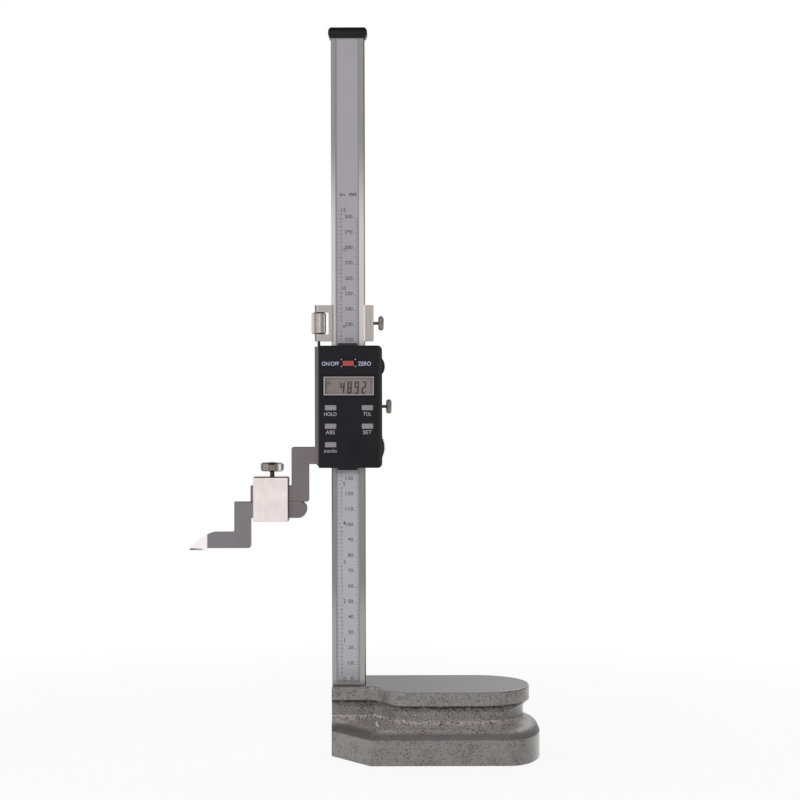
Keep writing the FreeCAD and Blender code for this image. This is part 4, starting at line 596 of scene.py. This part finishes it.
def knurled_steel(name, axis, middle, dark, pale):
    """Bright steel, with a thread's rings on the shank, whose axis passes through middle."""
    material, mm = new_finish(name)
    marks = ground_marks(mm, axis, scale=4.0, stretch=0.1)
    sides = [other for other in "XYZ" if other != axis]
    offsets = [part_of(mm, side) - place for side, place in zip(sides, middle)]
    distance = mm.node("ShaderNodeMath", {"operation": "SQRT"},
                       {0: offsets[0] * offsets[0] + offsets[1] * offsets[1]})
    shank = 1 - ramped(distance, SHANK_RADIUS + 0.05, SHANK_RADIUS + 0.1)
    winding = part_of(mm, axis) * (2 * math.pi / PITCH)
    rings = mm.node("ShaderNodeMath", {"operation": "SINE"}, {0: winding})
    groove = shank * ramped(rings, -0.6, 0.4)
    colour = layered(blend_tint(marks, dark, pale), (shank * 0.6 - groove * 0.3, tint(70, 66, 64)))
    set_finish(material, {"Base Color": colour, "Metallic": 1.0, "Roughness": 0.4 + marks * 0.12,
                          "Normal": relief(groove, 0.12, 0.8)})
    return material


slider_lock_steel = knurled_steel("slider_lock_steel", "X", (0, SLIDER_LOCK_Z),
                                  tint(132, 126, 124), tint(156, 149, 146))
dress(slider_lock_steel, "slider_lock_screw")

carrier_lock_steel = knurled_steel("carrier_lock_steel", "X", (0, CARRIER_LOCK_Z),
                                   tint(138, 132, 129), tint(162, 155, 151))
dress(carrier_lock_steel, "carrier_lock_screw")

nut_steel = knurled_steel("nut_steel", "Z", (ROD_X, ROD_Y), tint(140, 134, 130), tint(164, 158, 153))
dress(nut_steel, "fine_adjust_nut")

# Carrier: a milled steel bracket that slides on the beam above the slider and holds the nut in its
# window. Light and shade are painted on its lips round the beam and on its left end: a highlight on
# the right lip, and shade on the left lip, the left corner and the left end.

carrier_steel, mm = new_finish("carrier_steel")
across = part_of(mm, "X")
milling = ground_marks(mm, "Z")
left_lip_shade = band(across, (-10.4, -10.15), (-9, -8))
right_lip_highlight = band(across, (10.0, 10.05), (10.8, 11.1))
left_end_shade = 1 - ramped(across, -20.9, -20.7)
left_corner_shade = band(across, (-20.9, -20.7), (-19.9, -19.6))
carrier_tint = layered(blend_tint(milling, tint(153, 148, 144), tint(188, 182, 177)),
                       (left_lip_shade * 0.8, tint(112, 106, 105)),
                       (right_lip_highlight, tint(226, 221, 214)),
                       (left_corner_shade, tint(112, 108, 105)),
                       (left_end_shade * 0.7, tint(92, 85, 82)))
set_steel(carrier_steel, carrier_tint, milling, 0.26)
dress(carrier_steel, "carrier_body")

# Fine adjustment rod: dark steel, threaded from end to end and fixed in the slider. The nut draws
# the carrier up or down on it. Its upper end is turned to a short cone.

ROOT_RADIUS = 0.76
CREST_RADIUS = 1.0
STEPS = 16
CONE_LENGTH = 1.2

rod_low, rod_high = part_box("fine_adjust_rod")
rod_steel = ground_steel("rod_steel", "Y", tint(70, 66, 65), tint(92, 88, 86), 0.6, metallic=0.4)
turns = round((rod_high.z - rod_low.z) / MM / PITCH) - 1
thread = bmesh.new()
groove_shape = [(ROOT_RADIUS, 0), (CREST_RADIUS, 0.42), (CREST_RADIUS, 0.58), (ROOT_RADIUS, 1)]
profile = [thread.verts.new(Vector((ROD_X + radius, ROD_Y, rod_low.z / MM + rise * PITCH)) * MM)
           for radius, rise in groove_shape]
chain = [thread.edges.new(pair) for pair in zip(profile, profile[1:])]
bmesh.ops.spin(thread, geom=profile + chain, cent=Vector((ROD_X, ROD_Y, 0)) * MM, axis=(0, 0, 1),
               dvec=(0, 0, PITCH / STEPS * MM), angle=2 * math.pi * turns, steps=STEPS * turns,
               use_merge=False)
cone_place = Matrix.Translation((ROD_X * MM, ROD_Y * MM, rod_high.z - CONE_LENGTH / 2 * MM))
bmesh.ops.create_cone(thread, cap_ends=True, segments=STEPS, radius1=0.8 * MM, radius2=0.55 * MM,
                      depth=CONE_LENGTH * MM, matrix=cone_place)
bmesh.ops.remove_doubles(thread, verts=thread.verts, dist=0.01 * MM)
bmesh.ops.recalc_face_normals(thread, faces=thread.faces)
threaded_rod = new_piece("threaded_rod", thread, rod_steel, "slider")
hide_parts("fine_adjust_rod")

# Scriber clamp: a bright satin-plated box over the jaw's lower bar and the scriber's upper bar,
# closed by a wing screw from above. Painted shade darkens its right and upper edges, more at the
# front. The wing screw is bright from polishing, with painted shade on its stem, its top edge and
# the inner side of its wings, and a painted glint further out on them.

WING_X = -49.81
SHADE_RIM = (-0.62, -0.5)

clamp_low, clamp_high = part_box("scriber_clamp")
clamp_steel, mm = new_finish("clamp_steel")
brushing = ground_marks(mm, "X")
stains = noise(mm, 0.22, 3.0, (1, 1, 0.5), shift=9.0)
shaded_rim = larger(ramped(part_of(mm, "X") - clamp_high.x / MM, *SHADE_RIM),
             ramped(part_of(mm, "Z") - clamp_high.z / MM, *SHADE_RIM))
front = 1 - ramped(part_of(mm, "Y") - clamp_low.y / MM, 0.7, 1.5)
shaded_rim_tint = blend_tint(front, tint(112, 105, 102), tint(84, 75, 72))
clamp_tint = layered(blend_tint(ramped(stains, 0.25, 0.75), tint(222, 212, 211), tint(236, 228, 225)),
                     (brushing * 0.2, tint(204, 194, 192)),
                     (shaded_rim * (0.6 + front * 0.4), shaded_rim_tint))
set_steel(clamp_steel, clamp_tint, brushing, 0.32, spread=0.14)
dress(clamp_steel, "scriber_clamp")

wing_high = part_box("wing_screw")[1]
wing_steel, mm = new_finish("wing_steel")
from_axis = part_of(mm, "X") - WING_X
from_top = part_of(mm, "Z") - wing_high.z / MM
polish = noise(mm, 4.0, 3.0)
# Painted shade lies on the stem, the top edge and the inner side of the wings, less on the top face,
# and a painted glint on the wings further out.
shaded_stem = 1 - ramped(part_of(mm, "Z") - clamp_high.z / MM, 3.5, 4.1)
shaded_top_edge = ramped(from_top, -1.4, -1.0)
top_face = ramped(from_top, -0.15, -0.05)
shaded_inner_side = band(from_axis, (1.2, 1.8), (3.2, 3.8))
glint = band(from_axis, (4.0, 4.4), (5.6, 6.0))
wing_tint = layered(blend_tint(polish, tint(96, 90, 87), tint(134, 127, 123)),
                    (shaded_inner_side * 0.5, tint(82, 76, 72)),
                    (glint, tint(176, 171, 168)),
                    (larger(shaded_stem, shaded_top_edge) * (0.85 - top_face * 0.55), tint(36, 32, 30)))
set_finish(wing_steel, {"Base Color": wing_tint, "Metallic": 1.0, "Roughness": 0.24 + polish * 0.12})
dress(wing_steel, "wing_screw")

# Scriber: a ground bar of hardened steel with two steps, and a carbide tip brazed to its foot and
# ground to an edge. The upper bar goes through the clamp; beyond it the bar is darker, and a painted
# highlight lies along its top edge.

PAST_CLAMP_X = (-50, -48)
SCRIBER_RIM_Z = (163.0, 163.2)
FLANK_Z = (132.9, 133.1)
FLANK_X = (-95.6, -95.2)

scriber_steel, mm = new_finish("scriber_steel")
grinding = ground_marks(mm, "X")
past_clamp = ramped(part_of(mm, "X"), *PAST_CLAMP_X)
rim_highlight = past_clamp * ramped(part_of(mm, "Z"), *SCRIBER_RIM_Z)
scriber_tint = layered(blend_tint(wear(mm, grinding), tint(112, 107, 111), tint(138, 133, 136)),
                       (past_clamp, tint(114, 108, 111)),
                       (rim_highlight, tint(214, 208, 208)))
set_steel(scriber_steel, scriber_tint, grinding, 0.3)
dress(scriber_steel, "scriber")

carbide, mm = new_finish("ground_carbide")
lapping = ground_marks(mm, "X")
# Painted shade darkens the low flank at the tip's end.
shaded_flank = (1 - ramped(part_of(mm, "Z"), *FLANK_Z)) * (1 - ramped(part_of(mm, "X"), *FLANK_X))
carbide_tint = layered(blend_tint(lapping, tint(228, 219, 222), tint(250, 244, 246)),
                       (shaded_flank, tint(108, 102, 104)))
set_finish(carbide, {"Base Color": carbide_tint, "Metallic": 1.0, "Roughness": 0.2 + lapping * 0.1,
                     "Normal": relief(lapping, 0.01, 0.4)})
dress(carbide, "carbide_tip")

# Stage: a pale floor with a soft shadow, lamps to both sides and behind, and the camera of the
# photograph, 1.25 m in front of the beam and half as high as the gauge.

CAMERA_DISTANCE = 1.25
CAMERA_HEIGHT = 0.2359
CAMERA_X = 0.03357
CAMERA_ROLL = 0.134
HORIZON_RISE = 10
PIXELS_PER_MM = 1.534
FRAME_PIXELS = 800
SENSOR_MM = 36.0
FLOOR_HALF = 6.0
FLOOR_FADE = (0.25, 0.6)
LAMP_DISTANCE = 1.5
LAMP_AIM = Vector((0.0, 0.0, 0.2))


def rays_of(tree):
    """1 for the rays that the camera sees, that are mirrored, and that pass through glass."""
    kinds = tree.nodes.new("ShaderNodeLightPath").outputs
    return [Wire(tree, kinds[f"Is {kind} Ray"]) for kind in ("Camera", "Glossy", "Transmission")]


floor_bm = bmesh.new()
bmesh.ops.create_grid(floor_bm, x_segments=1, y_segments=1, size=FLOOR_HALF)
floor_mesh = bpy.data.meshes.new("floor")
floor_bm.to_mesh(floor_mesh)
floor_bm.free()
floor = bpy.data.objects.new("floor", floor_mesh)
bpy.context.scene.collection.objects.link(floor)
floor_paint = bpy.data.materials.new("pale_floor")
floor_paint.use_nodes = True
tree = floor_paint.node_tree
tree.nodes.clear()
seen, mirrored, through_glass = rays_of(tree)
shown = seen.maths("MINIMUM", seen + mirrored + through_glass, 1.0)
paper = seen.node("ShaderNodeBsdfDiffuse", {}, {"Color": (0.86, 0.86, 0.86, 1)})
white = seen.node("ShaderNodeEmission", {}, {"Color": (1, 1, 1, 1), "Strength": 1.0})
spot = Wire(tree, tree.nodes.new("ShaderNodeTexCoord").outputs["Object"])
far = spot.node("ShaderNodeVectorMath", {"operation": "LENGTH"}, {"Vector": spot}, output="Value")
whiteness = shown * (0.9 + ramped(far, *FLOOR_FADE) * 0.1)
mixed_floor = seen.node("ShaderNodeMixShader", {}, {0: whiteness, 1: paper, 2: white})
tree.links.new(mixed_floor.socket, tree.nodes.new("ShaderNodeOutputMaterial").inputs["Surface"])
floor_mesh.materials.append(floor_paint)

world = bpy.data.worlds.new("studio")
bpy.context.scene.world = world
world.use_nodes = True
tree = world.node_tree
tree.nodes.clear()
seen, mirrored, through_glass = rays_of(tree)
direction = Wire(tree, tree.nodes.new("ShaderNodeTexCoord").outputs["Generated"])
to_right = ramped(part_of(direction, "X"), 0.2, 0.85)
behind = ramped(part_of(direction, "Y"), 0.0, 0.5)
overhead = ramped(part_of(direction, "Z") - behind * 0.32, 0.35, 0.85)
room = (1 - to_right * 0.82) * (1 - overhead * 0.82)
reflected = seen.maths("MINIMUM", mirrored + through_glass, 1.0)
strength = larger(seen, room * (0.66 + reflected * 0.34))
sky = seen.node("ShaderNodeBackground", {}, {"Color": (1, 1, 1, 1), "Strength": strength})
tree.links.new(sky.socket, tree.nodes.new("ShaderNodeOutputWorld").inputs["Surface"])

for name, azimuth, elevation, size, power in [("left_lamp", -48, 14, 0.22, 8.5),
                                              ("right_lamp", 46, 14, 0.18, 6.0),
                                              ("rear_lamp", 160, 32, 0.5, 5.0)]:
    light = bpy.data.lights.new(name, "AREA")
    light.size = size
    light.energy = power
    lamp = bpy.data.objects.new(name, light)
    turn = math.radians(azimuth)
    rise = math.radians(elevation)
    level_reach = math.cos(rise)
    back = Vector((math.sin(turn) * level_reach, -math.cos(turn) * level_reach, math.sin(rise)))
    lamp.location = LAMP_AIM + back * LAMP_DISTANCE
    lamp.rotation_euler = back.to_track_quat("Z", "Y").to_euler()
    bpy.context.scene.collection.objects.link(lamp)

lens = bpy.data.cameras.new("camera")
lens.sensor_width = SENSOR_MM
lens.lens = SENSOR_MM * PIXELS_PER_MM * CAMERA_DISTANCE / MM / FRAME_PIXELS
lens.shift_y = -HORIZON_RISE / FRAME_PIXELS
camera = bpy.data.objects.new("camera", lens)
camera.location = (CAMERA_X, -CAMERA_DISTANCE, CAMERA_HEIGHT)
camera.rotation_euler = (math.radians(90), math.radians(CAMERA_ROLL), 0)
bpy.context.scene.collection.objects.link(camera)
bpy.context.scene.camera = camera
bpy.context.scene.view_settings.view_transform = "Standard"
